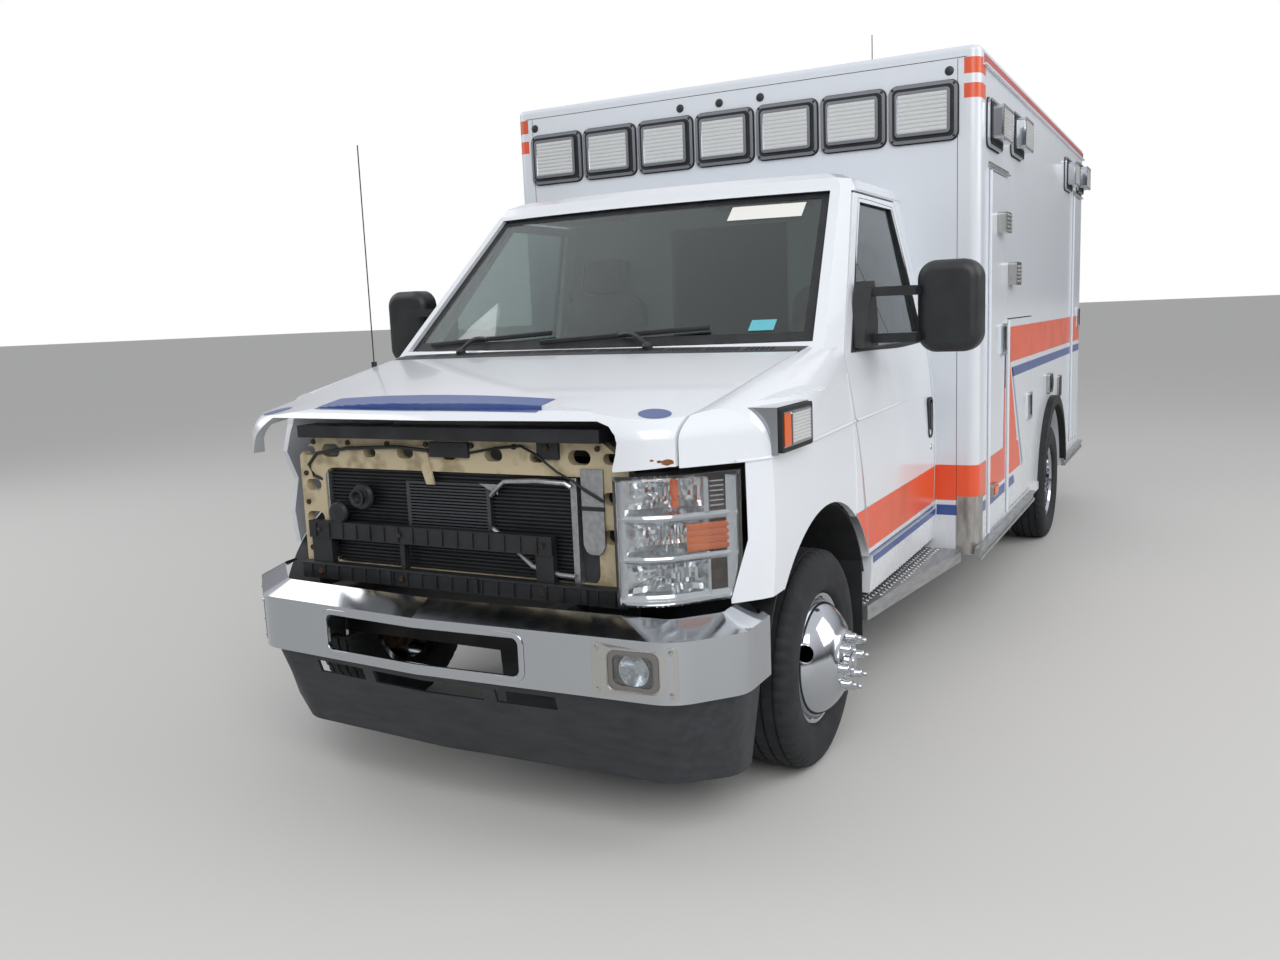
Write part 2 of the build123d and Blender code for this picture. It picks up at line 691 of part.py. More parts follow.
write(radiator_support, "radiator_support")

# Radiator and condenser behind the support, with a small finned cooler in front
radiator_depth = 76.0
cooler_from_x = -191.0
cooler_to_x = 142.0
cooler_bottom = 894.0
cooler_top = 1046.0
cooler_fins = 15
with BuildPart() as radiator_pack:
    add(block(-552, 552, support_rear, support_rear + radiator_depth, rail_top + 30, support_window_top + 16))
    add(block(cooler_from_x, cooler_to_x, support_rear - 26, support_rear, cooler_bottom, cooler_top))
    fin_pitch = (cooler_top - cooler_bottom) / cooler_fins
    for fin in range(cooler_fins - 1):
        z = cooler_bottom + fin_pitch * (fin + 1)
        add(block(cooler_from_x + 14, cooler_to_x - 14, support_rear - 27, support_rear - 10, z - 2.5,
                  z + 2.5),
            mode=Mode.SUBTRACT)
write(radiator_pack, "radiator_pack")

# Grille carrier left behind by the grille: two crossbars on posts, and a strip under the hood
with BuildPart() as grille_carrier:
    front = support_rear - support_depth
    add(block(-640, 640, front - 34, front, 700, 756))
    add(block(-600, 385, front - 30, front, 842, 900))
    for x, half_width in ((-552.0, 44.0), (-200.0, 9.0), (353.0, 32.0)):
        add(block(x - half_width, x + half_width, front - 24, front, 756, 842))
    for x in (-250.0, 100.0, 500.0):
        add(block(x - 10, x + 10, front - 44, front - 34, 706, 750))
    add(block(-585, 585, front - 60, support_rear, support_top, support_top + 40))
write(grille_carrier, "grille_carrier")

# Chassis rails: channels open inward, with cross members, brackets and the fuel tank
with BuildPart() as rails:
    for side in (-1, 1):
        with BuildSketch(across(body_rear)):
            with Locations((side * rail_x, (rail_bottom + rail_top) / 2)):
                Rectangle(rail_width, rail_height)
            with Locations((side * (rail_x - rail_wall), (rail_bottom + rail_top) / 2)):
                Rectangle(rail_width, rail_height - 2 * rail_wall, mode=Mode.SUBTRACT)
        extrude(amount=body_rear - rail_front_station)
    for station in cross_member_stations:
        add(block(rail_wall - rail_x - rail_width / 2, rail_x + rail_width / 2 - rail_wall,
                  station - cross_member_length / 2,
                  station + cross_member_length / 2, rail_bottom + rail_wall,
                  rail_bottom + rail_wall + cross_member_height))

tank_front = 4860.0
tank_rear = 5480.0
with BuildPart(mode=Mode.PRIVATE) as fuel_tank:
    add(block(-370, 370, tank_front, tank_rear, 400, 690))
    fillet(fuel_tank.edges().filter_by(Axis.Y), 45)
    for station in (tank_front + 120, tank_rear - 120):
        for x in (-1, 1):
            add(block(x * 370, x * (rail_x + rail_width / 2 - rail_wall), station - 20, station + 20, 560,
                      580))
with BuildPart() as chassis_frame:
    add(rails.part)
    add(fuel_tank.part)
write(chassis_frame, "chassis_frame")

with BuildPart() as engine_block:
    add(block(-235, 235, -430, 420, rail_bottom + rail_wall + cross_member_height, 1010))
    fillet(engine_block.edges().filter_by(Axis.Y), 30)
write(engine_block, "engine_block")

# Cab floor, firewall and engine cover
cab_floor_top = rail_top + 30
liner_wall = 8.0
liner_radius = arch_front_radius - seam_gap
liner_inner_x = 546.0
liner_outer_x = 985.0
liner_bottom = 560.0
floor_front = sqrt(arch_front_radius ** 2 - (rail_top - tyre_radius) ** 2) + 2
cover_half_width = 300.0
cover_rear = 560.0
cover_top = 1050.0
firewall_front = 40.0
firewall_depth = 24.0
panel_inner_x = side_waist_x - side_panel_depth
with BuildPart() as cab_floor:
    add(block(-panel_inner_x, panel_inner_x, floor_front, body_front, rail_top, cab_floor_top))
    add(block(-liner_inner_x + seam_gap, liner_inner_x - seam_gap, firewall_front, floor_front, rail_top,
              cab_floor_top))
    add(block(-860, 860, firewall_front, firewall_front + firewall_depth, tyre_radius + arch_front_radius + 2,
              1325))
    add(block(-400, 400, firewall_front, firewall_front + firewall_depth, 1300, belt_height))
    add(block(-liner_inner_x + seam_gap, liner_inner_x - seam_gap, firewall_front,
              firewall_front + firewall_depth, rail_top, 920))
    add(block(-cover_half_width, cover_half_width, firewall_front, cover_rear, rail_top, cover_top))
    fillet(cab_floor.edges().filter_by(Axis.Y).sort_by(Axis.Z)[-2:], 40)
    add(block(15 - cover_half_width, cover_half_width - 15, firewall_front - 5, cover_rear - 15, rail_top - 5,
              cover_top - 15), mode=Mode.SUBTRACT)
write(cab_floor, "cab_floor")


def arch_liner(inner_x, outer_x, station, radius, bottom):
    """Half-round wheel housing with a flat inner wall, open outward and below."""
    with BuildPart(mode=Mode.PRIVATE) as liner:
        add(drum(inner_x, outer_x, station, tyre_radius, radius))
        add(drum(inner_x + liner_wall, outer_x + 1, station, tyre_radius, radius - liner_wall),
            mode=Mode.SUBTRACT)
        add(block(inner_x - 10, outer_x + 10, station - 2 * radius, station + 2 * radius, -500, bottom),
            mode=Mode.SUBTRACT)
    return liner.part


rear_liner_inner_x = 690.0
flap_station = 470.0
flap_thickness = 6.0
with BuildPart() as wheel_liners:
    front_liner = arch_liner(liner_inner_x, liner_outer_x, 0, liner_radius, liner_bottom)
    front_liner += block(762, 984, flap_station, flap_station + flap_thickness, 312, 606)
    rear_liner = arch_liner(rear_liner_inner_x, inner_half_width, wheelbase, arch_radius, rail_bottom)
    for liner in (front_liner, rear_liner):
        add(liner)
        add(other_side(liner))

# Dashboard, steering column and wheel
wheel_x = 400.0
with BuildPart() as dashboard:
    add(side_prism(((firewall_front + firewall_depth + 60, cover_top + 10),
                    (firewall_front + firewall_depth + 60, 1330.0),
                    (300.0, 1352.0), (480.0, 1345.0), (560.0, 1290.0), (540.0, 1120.0),
                    (430.0, cover_top + 10)), -860, 860))
    add(block(-300, 300, firewall_front + firewall_depth, 200, cover_top + 10, 1290))
column_tilt = 32.0
wheel_plane = Plane(origin=(wheel_x, at(756), 1292), x_dir=(1, 0, 0),
                    z_dir=(0, cos(radians(column_tilt)), sin(radians(column_tilt))))
with BuildPart() as steering_wheel:
    with BuildSketch(wheel_plane.offset(-300)):
        Circle(24)
    extrude(amount=290)
    with BuildSketch(wheel_plane.offset(-34)):
        Circle(62)
    extrude(amount=42)
    with BuildSketch(wheel_plane.offset(-16)):
        for turn in (0, 180, 270):
            with PolarLocations(0, 1, start_angle=turn):
                with Locations((105, 0)):
                    Rectangle(160, 34)
    extrude(amount=14)
    with Locations(wheel_plane.offset(-9)):
        Torus(major_radius=184, minor_radius=15)
    add(dashboard.part, mode=Mode.SUBTRACT)
with BuildPart() as dashboard_and_wheel:
    add(dashboard.part)
    add(steering_wheel.part)
write(dashboard_and_wheel, "dashboard")

# Seats, one each side of the engine cover
seat_x = 620.0
seat_width = 480.0
with BuildPart() as cab_seats:
    for side in (-1, 1):
        x_from = side * seat_x - seat_width / 2
        x_to = side * seat_x + seat_width / 2
        add(block(x_from + 40, x_to - 40, 880, 1260, cab_floor_top, 980))
        with BuildSketch(along(x_from)):
            with BuildLine():
                Polyline((at(800), 980), (at(800), 1080), (at(1240), 1060), (at(1400), 1660),
                         (at(1505), 1660), (at(1380), 980), close=True)
            make_face()
        extrude(amount=seat_width)
        add(block(side * seat_x - 130, side * seat_x + 130, 1412, 1500, 1660, 1840))
write(cab_seats, "cab_seats")

# Cab steps: channel boards hung from the rails
step_top = 430.0
step_depth = 58.0
step_inner_x = 905.0
step_front = 482.0
step_front_x = 1002.0
step_rear_x = 1130.0
step_wall = 5.0
step_outline = ((step_inner_x, step_front), (step_front_x, step_front), (step_rear_x, body_front - 34.0),
                (step_inner_x, body_front - 34.0))
step_under = ((step_inner_x + step_wall, step_front + step_wall),
              (step_front_x - 1.6 * step_wall, step_front + step_wall),
              (step_rear_x - 1.6 * step_wall, body_front - 34.0 - step_wall),
              (step_inner_x + step_wall, body_front - 34.0 - step_wall))
with BuildPart() as cab_steps:
    for side in (-1, 1):
        add(plan_prism([(side * x, station) for x, station in step_outline], step_top - step_depth, step_top))
        add(plan_prism([(side * x, station) for x, station in step_under], step_top - step_depth - 1,
                       step_top - step_wall),
            mode=Mode.SUBTRACT)
        for station in (640.0, 1340.0):
            add(block(side * (rail_x - 30), side * (step_inner_x), station - 25, station + 25, 388, 424))
            add(block(side * (rail_x - 30), side * (rail_x + 30), station - 25, station + 25, 388,
                      rail_bottom))

# Mirrors on the doors: a head on two arms from a foot at the front of the window
mirror_x = 1262.0
mirror_station = 690.0
mirror_width = 232.0
mirror_height = 336.0
mirror_depth = 96.0
mirror_z = 1538.0
with BuildPart() as mirror_left:
    with BuildSketch(across(mirror_station + mirror_depth / 2)):
        with Locations((mirror_x, mirror_z)):
            RectangleRounded(mirror_width, mirror_height, 70)
    extrude(amount=mirror_depth)
    fillet(mirror_left.faces().sort_by(Axis.Y)[0].edges(), 40)
    for z in (mirror_z + 62, mirror_z - 108):
        add(block(984, mirror_x - mirror_width / 2 + 20, 560, 600, z - 17, z + 17))
        add(block(1120, mirror_x - mirror_width / 2 + 20, 560, mirror_station, z - 17, z + 17))
    add(side_prism(((440.0, 1400.0), (640.0, 1400.0), (640.0, 1500.0), (600.0, 1640.0), (575.0, 1640.0)), 940,
                   1006))
    add(greenhouse_volume(-0.3, body_front), mode=Mode.SUBTRACT)
write(mirror_left, "mirror_left")
with BuildPart() as mirror_right:
    add(other_side(mirror_left.part))
write(mirror_right, "mirror_right")

# Hinges of the body doors: distance of the pin's centre from the wall, barrel radius, leaf width
hinge_out = 9.0
barrel_radius = 7.0
hinge_leaf = 26.0
leaf_depth = hinge_out - barrel_radius - running_gap

# Box body: floor on its sills, walls with their door openings, and the roof
# name, wall side, front station, rear station, bottom, top
door_left_front = (1800.0, 2262.0, 452.0, 2145.0)
door_left_lower = (2316.0, 3148.0, 465.0, 1460.0)
door_left_rear = (5010.0, 5506.0, 500.0, 2272.0)
door_side_entry = (2330.0, 3110.0, 470.0, 2236.0)
rear_door_half = 625.0
rear_door_bottom = floor_top
rear_door_top = 2190.0
box_depth = 400.0
box_wall = 12.0
box_inner_x = inner_half_width - box_depth


def opening(x_from, x_to, door):
    return block(x_from, x_to, door[0], door[1], door[2], door[3])


def wall_leaf(door, side):
    """The hinge leaf fixed to the wall, just under the barrel."""
    return block(side * body_half_width, side * (body_half_width + leaf_depth), door[0] - hinge_leaf, door[0],
                 door[2], door[3])


def box_notch(door, side):
    """Space in the floor for a compartment's box."""
    return block(side * (box_inner_x - seam_gap), side * 3000, door[0] - box_wall - seam_gap,
                 door[1] + box_wall + seam_gap, 0, floor_top + 1)


arch_notch_half = arch_radius + 1
with BuildPart() as body_floor:
    add(block(-inner_half_width, inner_half_width, body_front + body_wall, body_rear - body_wall,
              floor_bottom, floor_top))
    for side in (-1, 1):
        add(block(side * rail_x - 35, side * rail_x + 35, body_front + body_wall, body_rear - body_wall,
                  rail_top, floor_bottom))
        add(block(side * (rear_liner_inner_x - seam_gap), side * 3000, wheelbase - arch_notch_half,
                  wheelbase + arch_notch_half, 0,
                  floor_top + 1), mode=Mode.SUBTRACT)
    for door, side in ((door_left_front, 1), (door_left_lower, 1), (door_left_rear, 1),
                       (door_side_entry, -1)):
        add(box_notch(door, side), mode=Mode.SUBTRACT)
write(body_floor, "body_floor")

with BuildPart() as side_blank:
    with BuildSketch(level(body_skirt)):
        with Locations((0, at((body_front + body_rear) / 2))):
            Rectangle(2 * body_half_width, body_length)
    extrude(amount=roof_bottom - body_skirt)
    fillet(side_blank.edges().filter_by(Axis.Z), body_corner)
    add(block(-inner_half_width, inner_half_width, body_front - 10, body_rear + 10, 0, 3000),
        mode=Mode.SUBTRACT)

with BuildPart() as body_wall_left:
    add(side_blank.part)
    add(block(0, 2000, 0, 9000, 0, 3000), mode=Mode.INTERSECT)
    for door in (door_left_front, door_left_lower, door_left_rear):
        add(opening(1000, 1300, door), mode=Mode.SUBTRACT)
        add(wall_leaf(door, 1))
    add(drum(1000, 1300, wheelbase, tyre_radius, arch_radius), mode=Mode.SUBTRACT)
write(body_wall_left, "body_wall_left")

with BuildPart() as body_wall_right:
    add(side_blank.part)
    add(block(-2000, 0, 0, 9000, 0, 3000), mode=Mode.INTERSECT)
    add(opening(-1300, -1000, door_side_entry), mode=Mode.SUBTRACT)
    add(wall_leaf(door_side_entry, -1))
    add(drum(-1300, -1000, wheelbase, tyre_radius, arch_radius), mode=Mode.SUBTRACT)
write(body_wall_right, "body_wall_right")

pass_half_width = 310.0
pass_bottom = 860.0
pass_top = 1960.0
with BuildPart() as body_wall_front:
    add(block(-inner_half_width, inner_half_width, body_front, body_front + body_wall, body_skirt,
              roof_bottom))
    add(block(-930, 930, body_front - 10, body_front + body_wall + 10, 0, floor_bottom), mode=Mode.SUBTRACT)
    add(block(-pass_half_width, pass_half_width, body_front - 10, body_front + body_wall + 10, pass_bottom,
              pass_top),
        mode=Mode.SUBTRACT)
write(body_wall_front, "body_wall_front")

with BuildPart() as body_wall_rear:
    add(block(-inner_half_width, inner_half_width, body_rear - body_wall, body_rear, body_skirt, roof_bottom))
    add(block(-rail_x - 60, rail_x + 60, body_rear - 100, body_rear + 10, 0, rail_top), mode=Mode.SUBTRACT)
    add(block(-rear_door_half, rear_door_half, body_rear - 100, body_rear + 10, rear_door_bottom,
              rear_door_top),
        mode=Mode.SUBTRACT)
    for side in (-1, 1):
        add(block(side * rail_x - 35, side * rail_x + 35, body_rear - 100, body_rear + 10, rail_top - 1,
                  floor_bottom),
            mode=Mode.SUBTRACT)
        add(block(side * rear_door_half, side * (rear_door_half + hinge_leaf), body_rear,
                  body_rear + leaf_depth,
                  rear_door_bottom, rear_door_top))
write(body_wall_rear, "body_wall_rear")

drip_front = 1640.0
drip_rear = body_rear - 20
with BuildPart() as body_roof:
    add(block(-body_half_width, body_half_width, body_front, body_rear, roof_bottom, body_top))
    fillet(body_roof.edges().filter_by(Axis.Z), body_corner)
    fillet(body_roof.faces().sort_by(Axis.Z)[-1].edges(), 24)
    for side in (-1, 1):
        add(block(side * body_half_width, side * (body_half_width + 16), drip_front, drip_rear,
                  roof_bottom - 32, roof_bottom - 24))
        add(block(side * body_half_width, side * (body_half_width + 4), drip_front, drip_rear,
                  roof_bottom - 24, roof_bottom + 20))
write(body_roof, "body_roof")


def door_panel(door, side):
    """Flush body door, smaller than its opening by the panel gap."""
    x_from, x_to = side * inner_half_width, side * body_half_width
    return block(x_from, x_to, door[0] + panel_gap, door[1] - panel_gap, door[2] + panel_gap,
                 door[3] - panel_gap)




def piano_hinge(door, side):
    """Full height hinge barrel and leaf on the door's front edge."""
    with BuildPart(mode=Mode.PRIVATE) as hinge:
        with BuildSketch(level(door[2] + panel_gap + 4)):
            with Locations((side * (body_half_width + hinge_out), at(door[0]))):
                Circle(barrel_radius)
        extrude(amount=door[3] - door[2] - 2 * panel_gap - 8)
        add(block(side * body_half_width, side * (body_half_width + 3), door[0] + panel_gap,
                  door[0] + panel_gap + hinge_leaf,
                  door[2] + panel_gap + 4, door[3] - panel_gap - 4))
        add(block(side * body_half_width, side * (body_half_width + hinge_out), door[0] + 2,
                  door[0] + panel_gap + 2,
                  door[2] + panel_gap + 4, door[3] - panel_gap - 4))
    return hinge.part


def paddle(side, station, z, width, height):
    """Paddle latch: a raised frame with a recessed paddle."""
    with BuildPart(mode=Mode.PRIVATE) as latch:
        with BuildSketch(along(side * body_half_width)):
            with Locations((at(station), z)):
                RectangleRounded(width, height, 10)
        extrude(amount=side * 14)
        with BuildSketch(along(side * (body_half_width + 14))):
            with Locations((at(station), z)):
                RectangleRounded(width - 26, height - 26, 6)
        extrude(amount=-side * 9, mode=Mode.SUBTRACT)
    return latch.part


with BuildPart() as locker_door_front:
    add(door_panel(door_left_front, 1))
    add(piano_hinge(door_left_front, 1))
    add(paddle(1, 2170, 1362, 118, 150))
write(locker_door_front, "locker_door_front")
with BuildPart() as locker_door_lower:
    add(door_panel(door_left_lower, 1))
    add(piano_hinge(door_left_lower, 1))
    add(paddle(1, 3056, 954, 118, 150))
write(locker_door_lower, "locker_door_lower")
with BuildPart() as locker_door_rear:
    add(door_panel(door_left_rear, 1))
    add(piano_hinge(door_left_rear, 1))
    add(paddle(1, 5412, 1405, 118, 150))
write(locker_door_rear, "locker_door_rear")

entry_window = (2470.0, 2970.0, 1420.0, 2060.0)
with BuildPart() as side_entry_door:
    add(door_panel(door_side_entry, -1))
    add(piano_hinge(door_side_entry, -1))
    add(paddle(-1, 3010, 1200, 118, 150))
    add(opening(-1300, -1000, entry_window), mode=Mode.SUBTRACT)
write(side_entry_door, "side_entry_door")
pane_depth = 8.0
with BuildPart() as side_entry_glass:
    middle_x = -(inner_half_width + body_half_width) / 2
    add(block(middle_x - pane_depth / 2, middle_x + pane_depth / 2, entry_window[0] + seam_gap,
              entry_window[1] - seam_gap,
              entry_window[2] + seam_gap, entry_window[3] - seam_gap))
write(side_entry_glass, "side_entry_glass")

# Rear doors: hinged at their outer edges, with a window each
rear_window_from = 120.0
rear_window_to = 520.0
rear_window_bottom = 1380.0
rear_window_top = 2000.0


def rear_door(side):
    with BuildPart(mode=Mode.PRIVATE) as door:
        add(block(side * panel_gap / 2, side * (rear_door_half - panel_gap), body_rear - body_wall, body_rear,
                  rear_door_bottom + panel_gap, rear_door_top - panel_gap))
        add(block(side * rear_window_from, side * rear_window_to, body_rear - 100, body_rear + 10,
                  rear_window_bottom,
                  rear_window_top), mode=Mode.SUBTRACT)
        with BuildSketch(level(rear_door_bottom + 12)):
            with Locations((side * rear_door_half, at(body_rear + hinge_out))):
                Circle(barrel_radius)
        extrude(amount=rear_door_top - rear_door_bottom - 24)
        add(block(side * (rear_door_half - 2), side * (rear_door_half - panel_gap - 2), body_rear,
                  body_rear + hinge_out,
                  rear_door_bottom + 12, rear_door_top - 12))
        add(block(side * (rear_door_half - panel_gap), side * (rear_door_half - panel_gap - hinge_leaf),
                  body_rear, body_rear + 3,
                  rear_door_bottom + 12, rear_door_top - 12))
        if side > 0:
            add(block(50, 168, body_rear, body_rear + 14, 1180, 1330))
        else:
            add(block(-70, -50, body_rear, body_rear + 26, 1000, 1320))
    return door.part


with BuildPart() as rear_door_left:
    add(rear_door(1))
write(rear_door_left, "rear_door_left")
with BuildPart() as rear_door_right:
    add(rear_door(-1))
write(rear_door_right, "rear_door_right")
for side, name in ((1, "rear_glass_left"), (-1, "rear_glass_right")):
    with BuildPart() as rear_glass:
        middle = body_rear - body_wall / 2
        add(block(side * (rear_window_from + seam_gap), side * (rear_window_to - seam_gap),
                  middle - pane_depth / 2,
                  middle + pane_depth / 2, rear_window_bottom + seam_gap, rear_window_top - seam_gap))
    write(rear_glass, name)


def compartment(door, side, depth):
    """Open-fronted box behind a body door."""
    inner_x = inner_half_width - depth
    with BuildPart(mode=Mode.PRIVATE) as box:
        add(block(side * inner_x, side * inner_half_width, door[0] - box_wall, door[1] + box_wall,
                  door[2] - box_wall,
                  door[3] + box_wall))
        add(block(side * (inner_x + box_wall), side * (inner_half_width + 10), door[0], door[1], door[2],
                  door[3]),
            mode=Mode.SUBTRACT)
    return box.part


with BuildPart() as lockers:
    for door in (door_left_front, door_left_lower, door_left_rear):
        add(compartment(door, 1, box_depth))
write(lockers, "lockers")

# Step well inside the side entry door, up to the floor
with BuildPart() as entry_step_well:
    well = (door_side_entry[0], door_side_entry[1], door_side_entry[2], floor_top)
    add(compartment(well, -1, box_depth))
    add(block(-inner_half_width - 1, -box_inner_x - box_wall, well[0], well[1], well[3] - 1, well[3] + 100),
        mode=Mode.SUBTRACT)
write(entry_step_well, "entry_step_well")

# Rub rails along the skirts, the arch flares, and the rear step
rub_bottom = 392.0
rub_height = 56.0
rub_depth = 30.0
rub_spans = ((body_front - 70, 3150.0), (wheelbase + flare_radius + 14, body_rear + 60))
with BuildPart() as rub_rails:
    for side in (-1, 1):
        for station_from, station_to in rub_spans:
            rail = block(side * body_half_width, side * (body_half_width + rub_depth), station_from,
                         station_to, rub_bottom,
                         rub_bottom + rub_height)
            add(rail)
            add(block(side * (body_half_width + rub_depth - 8), side * (body_half_width + rub_depth + 1),
                      station_from, station_to,
                      rub_bottom + 14, rub_bottom + rub_height - 14), mode=Mode.SUBTRACT)
write(rub_rails, "rub_rails")

with BuildPart() as wheel_housings:
    add(wheel_liners.part)
    for side in (-1, 1):
        x_from, x_to = sorted((side * body_half_width, side * (body_half_width + flare_reach)))
        add(drum(x_from, x_to, wheelbase, tyre_radius, flare_radius))
        add(drum(x_from - 1, x_to + 1, wheelbase, tyre_radius, arch_radius), mode=Mode.SUBTRACT)
        add(block(x_from - 1, x_to + 1, wheelbase - 700, wheelbase + 700, -400, 455), mode=Mode.SUBTRACT)
write(wheel_housings, "wheel_housings")

step_height = 42.0
rear_step_top = 520.0
with BuildPart(mode=Mode.PRIVATE) as rear_step:
    add(block(-1090, 1090, body_rear + 6, body_rear + rear_step_depth, rear_step_top - step_height,
              rear_step_top))
    fillet(rear_step.edges().filter_by(Axis.Z).sort_by(Axis.Y)[-2:], 60)
    for side in (-1, 1):
        add(block(side * rail_x - 35, side * rail_x + 35, body_rear, body_rear + 90,
                  rear_step_top - step_height, rail_top - 20))
    plate_bolts = [(x * 177.8 / 2, z * 120.65 / 2) for x in (-1, 1) for z in (-1, 1)]
    add(block(-150, 150, body_rear + rear_step_depth - 40, body_rear + rear_step_depth, rear_step_top - 190,
              rear_step_top))
    with BuildSketch(across(body_rear + rear_step_depth + 1)):
        for x, z in plate_bolts:
            with Locations((x, rear_step_top - 95 + z)):
                Circle(3.5)
    extrude(amount=60, mode=Mode.SUBTRACT)
with BuildPart() as steps:
    add(cab_steps.part)
    add(rear_step.part)
write(steps, "steps")

# Warning lamps on the body's walls, and one on the fender that is whole
front_lamp_count = 7
front_lamp_pitch = 318.0
front_lamp_width = 300.0
front_lamp_height = 250.0
front_lamp_z = 2380.0
lamp_flange = 18.0
lamp_lens = 30.0
# station of the middle, height, length, height of the lamp
side_lamps = ((1880.0, 2336.0, 320.0, 210.0), (2510.0, 2366.0, 320.0, 210.0), (4640.0, 2372.0, 320.0, 210.0),
              (5345.0, 2410.0, 320.0, 210.0))
# x, height, width, height of the rear lamps on the driver's side, and mirrored
rear_lamps = ((1000.0, 2380.0, 300.0, 230.0), (360.0, 2380.0, 300.0, 230.0), (1010.0, 980.0, 190.0, 240.0),
              (1010.0, 1240.0, 190.0, 240.0))


def lamp(plane, u, v, width, height, reach):
    """A lamp on an upright wall: a rounded flange and a raised lens."""
    with BuildPart(mode=Mode.PRIVATE) as solid:
        for w, h, radius, depth in ((width, height, 34, lamp_flange), (width - 64, height - 64, 16, reach)):
            with BuildSketch(plane):
                with Locations((u, v)):
                    RectangleRounded(w, h, radius)
            extrude(amount=depth)
    return solid.part


with BuildPart() as warning_lamps:
    for index in range(front_lamp_count):
        x = (index - (front_lamp_count - 1) / 2) * front_lamp_pitch
        add(lamp(across(body_front), x, front_lamp_z, front_lamp_width, front_lamp_height, lamp_lens))
    for station, z, width, height in side_lamps:
        left_lamp = lamp(along(body_half_width), at(station), z, width, height, 66)
        add(left_lamp)
        add(other_side(left_lamp))
    for x, z, width, height in rear_lamps:
        rear_plane = Plane(origin=(0, at(body_rear), 0), x_dir=(-1, 0, 0), z_dir=(0, 1, 0))
        for side in (-1, 1):
            add(lamp(rear_plane, side * x, z, width, height, lamp_lens))
    with BuildPart(mode=Mode.PRIVATE) as fender_lamp:
        add(block(940, 1030, -500, -230, 1136, 1272))
        add(block(1030, 1042, -482, -248, 1152, 1256))
        add(nose_outer, mode=Mode.SUBTRACT)
    add(fender_lamp.part)
write(warning_lamps, "warning_lamps")

# Small fittings on the driver's side: louvre, filler and side marker on the wall, vent and marker on the door
fitting_radius = 12.0


def fittings(places):
    """Pads on the driver's side, each given as station, height, length, height and depth."""
    with BuildPart(mode=Mode.PRIVATE) as pads:
        for station, z, length, height, depth in places:
            with BuildSketch(along(body_half_width)):
                with Locations((at(station), z)):
                    RectangleRounded(length, height, fitting_radius)
            extrude(amount=depth)
    return pads.part


with BuildPart() as side_fittings:
    add(fittings(((2404.0, 1682.0, 150.0, 114.0, 42.0), (3860.0, 1022.0, 150.0, 126.0, 22.0),
                  (4372.0, 966.0, 120.0, 150.0, 14.0))))
write(side_fittings, "side_fittings")
with BuildPart() as locker_door_fittings:
    add(fittings(((2092.0, 1916.0, 150.0, 96.0, 42.0), (1900.0, 655.0, 120.0, 60.0, 26.0))))
write(locker_door_fittings, "locker_door_fittings")

# Whip aerials: one on the cowl, one on the body's roof
with BuildPart() as aerials:
    for x, station, foot, top in ((-900.0, 0.0, 1380.0, 2260.0), (438.0, 2600.0, body_top, 2990.0)):
        with BuildSketch(level(foot)):
            with Locations((x, at(station))):
                Circle(11)
        extrude(amount=26)
        with BuildSketch(level(foot)):
            with Locations((x, at(station))):
                Circle(2.4)
        extrude(amount=top - foot)
    add(nose_outer, mode=Mode.SUBTRACT)
write(aerials, "aerials")

# Front axle: two crossed beams from brackets under the rails to the knuckles
beam_half_height = 34.0
beam_width = 62.0
beam_shift = 40.0
knuckle_gap = running_gap
eye_half_height = 24.0
eye_radius = 30.0
with BuildPart() as axle_beams:
    for side in (-1, 1):
        near, far = -side * (rail_x - 110), side * kingpin_x
        station = side * beam_shift
        add(front_prism(((near, tyre_radius - beam_half_height), (near, tyre_radius + beam_half_height),
                         (far - side * 60, tyre_radius + beam_half_height),
                         (far - side * 60, tyre_radius - beam_half_height)),
                        station - beam_width / 2, station + beam_width / 2))
        add(block(far - side * 90, far, min(0, station) - 20, max(0, station) + 20, tyre_radius - 24,
                  tyre_radius + 24))
        add(post(far, 0, tyre_radius - eye_half_height, tyre_radius + eye_half_height, eye_radius))
        add(block(near - 45, near + 45, station - beam_width / 2, station + beam_width / 2, tyre_radius + 10,
                  rail_bottom + rail_wall))

# Knuckles, with spindle, brake shield and steering arm
lug_reach = 34.0
lug_thickness = 28.0
spindle_radius = 30.0
shield_radius = 165.0
hub_end = 190.0


with BuildPart() as knuckle_left:
    for sign in (-1, 1):
        z_from = tyre_radius + sign * (eye_half_height + knuckle_gap)
        z_to = z_from + sign * lug_thickness
        add(post(kingpin_x, 0, min(z_from, z_to), max(z_from, z_to), lug_reach))
        add(block(kingpin_x, kingpin_x + 60, -lug_reach, lug_reach, min(z_from, z_to), max(z_from, z_to)))
    reach = eye_half_height + knuckle_gap + lug_thickness
    add(block(kingpin_x + 38, kingpin_x + 62, -lug_reach, lug_reach, tyre_radius - reach,
              tyre_radius + reach))
    add(drum(kingpin_x + 62, kingpin_x + 66, 0, tyre_radius, shield_radius))
    add(drum(kingpin_x + 62, front_wheel_x + hub_end - 34, 0, tyre_radius, spindle_radius))
    add(block(kingpin_x + 38, kingpin_x + 60, lug_reach, 168, tyre_radius - reach, tyre_radius - reach + 22))
write(knuckle_left, "knuckle_left")
with BuildPart() as knuckle_right:
    add(other_side(knuckle_left.part))
write(knuckle_right, "knuckle_right")


def turned(x, station, points):
    """A ring or cup turned about the wheel's axle, from (across, radius) points measured from x."""
    with BuildPart(mode=Mode.PRIVATE) as solid:
        with BuildSketch(Plane(origin=(x, at(station), tyre_radius), x_dir=(1, 0, 0), z_dir=(0, -1, 0))):
            with BuildLine():
                Polyline(*points, close=True)
            make_face()
        revolve(axis=Axis((x, at(station), tyre_radius), (1, 0, 0)))
    return solid.part


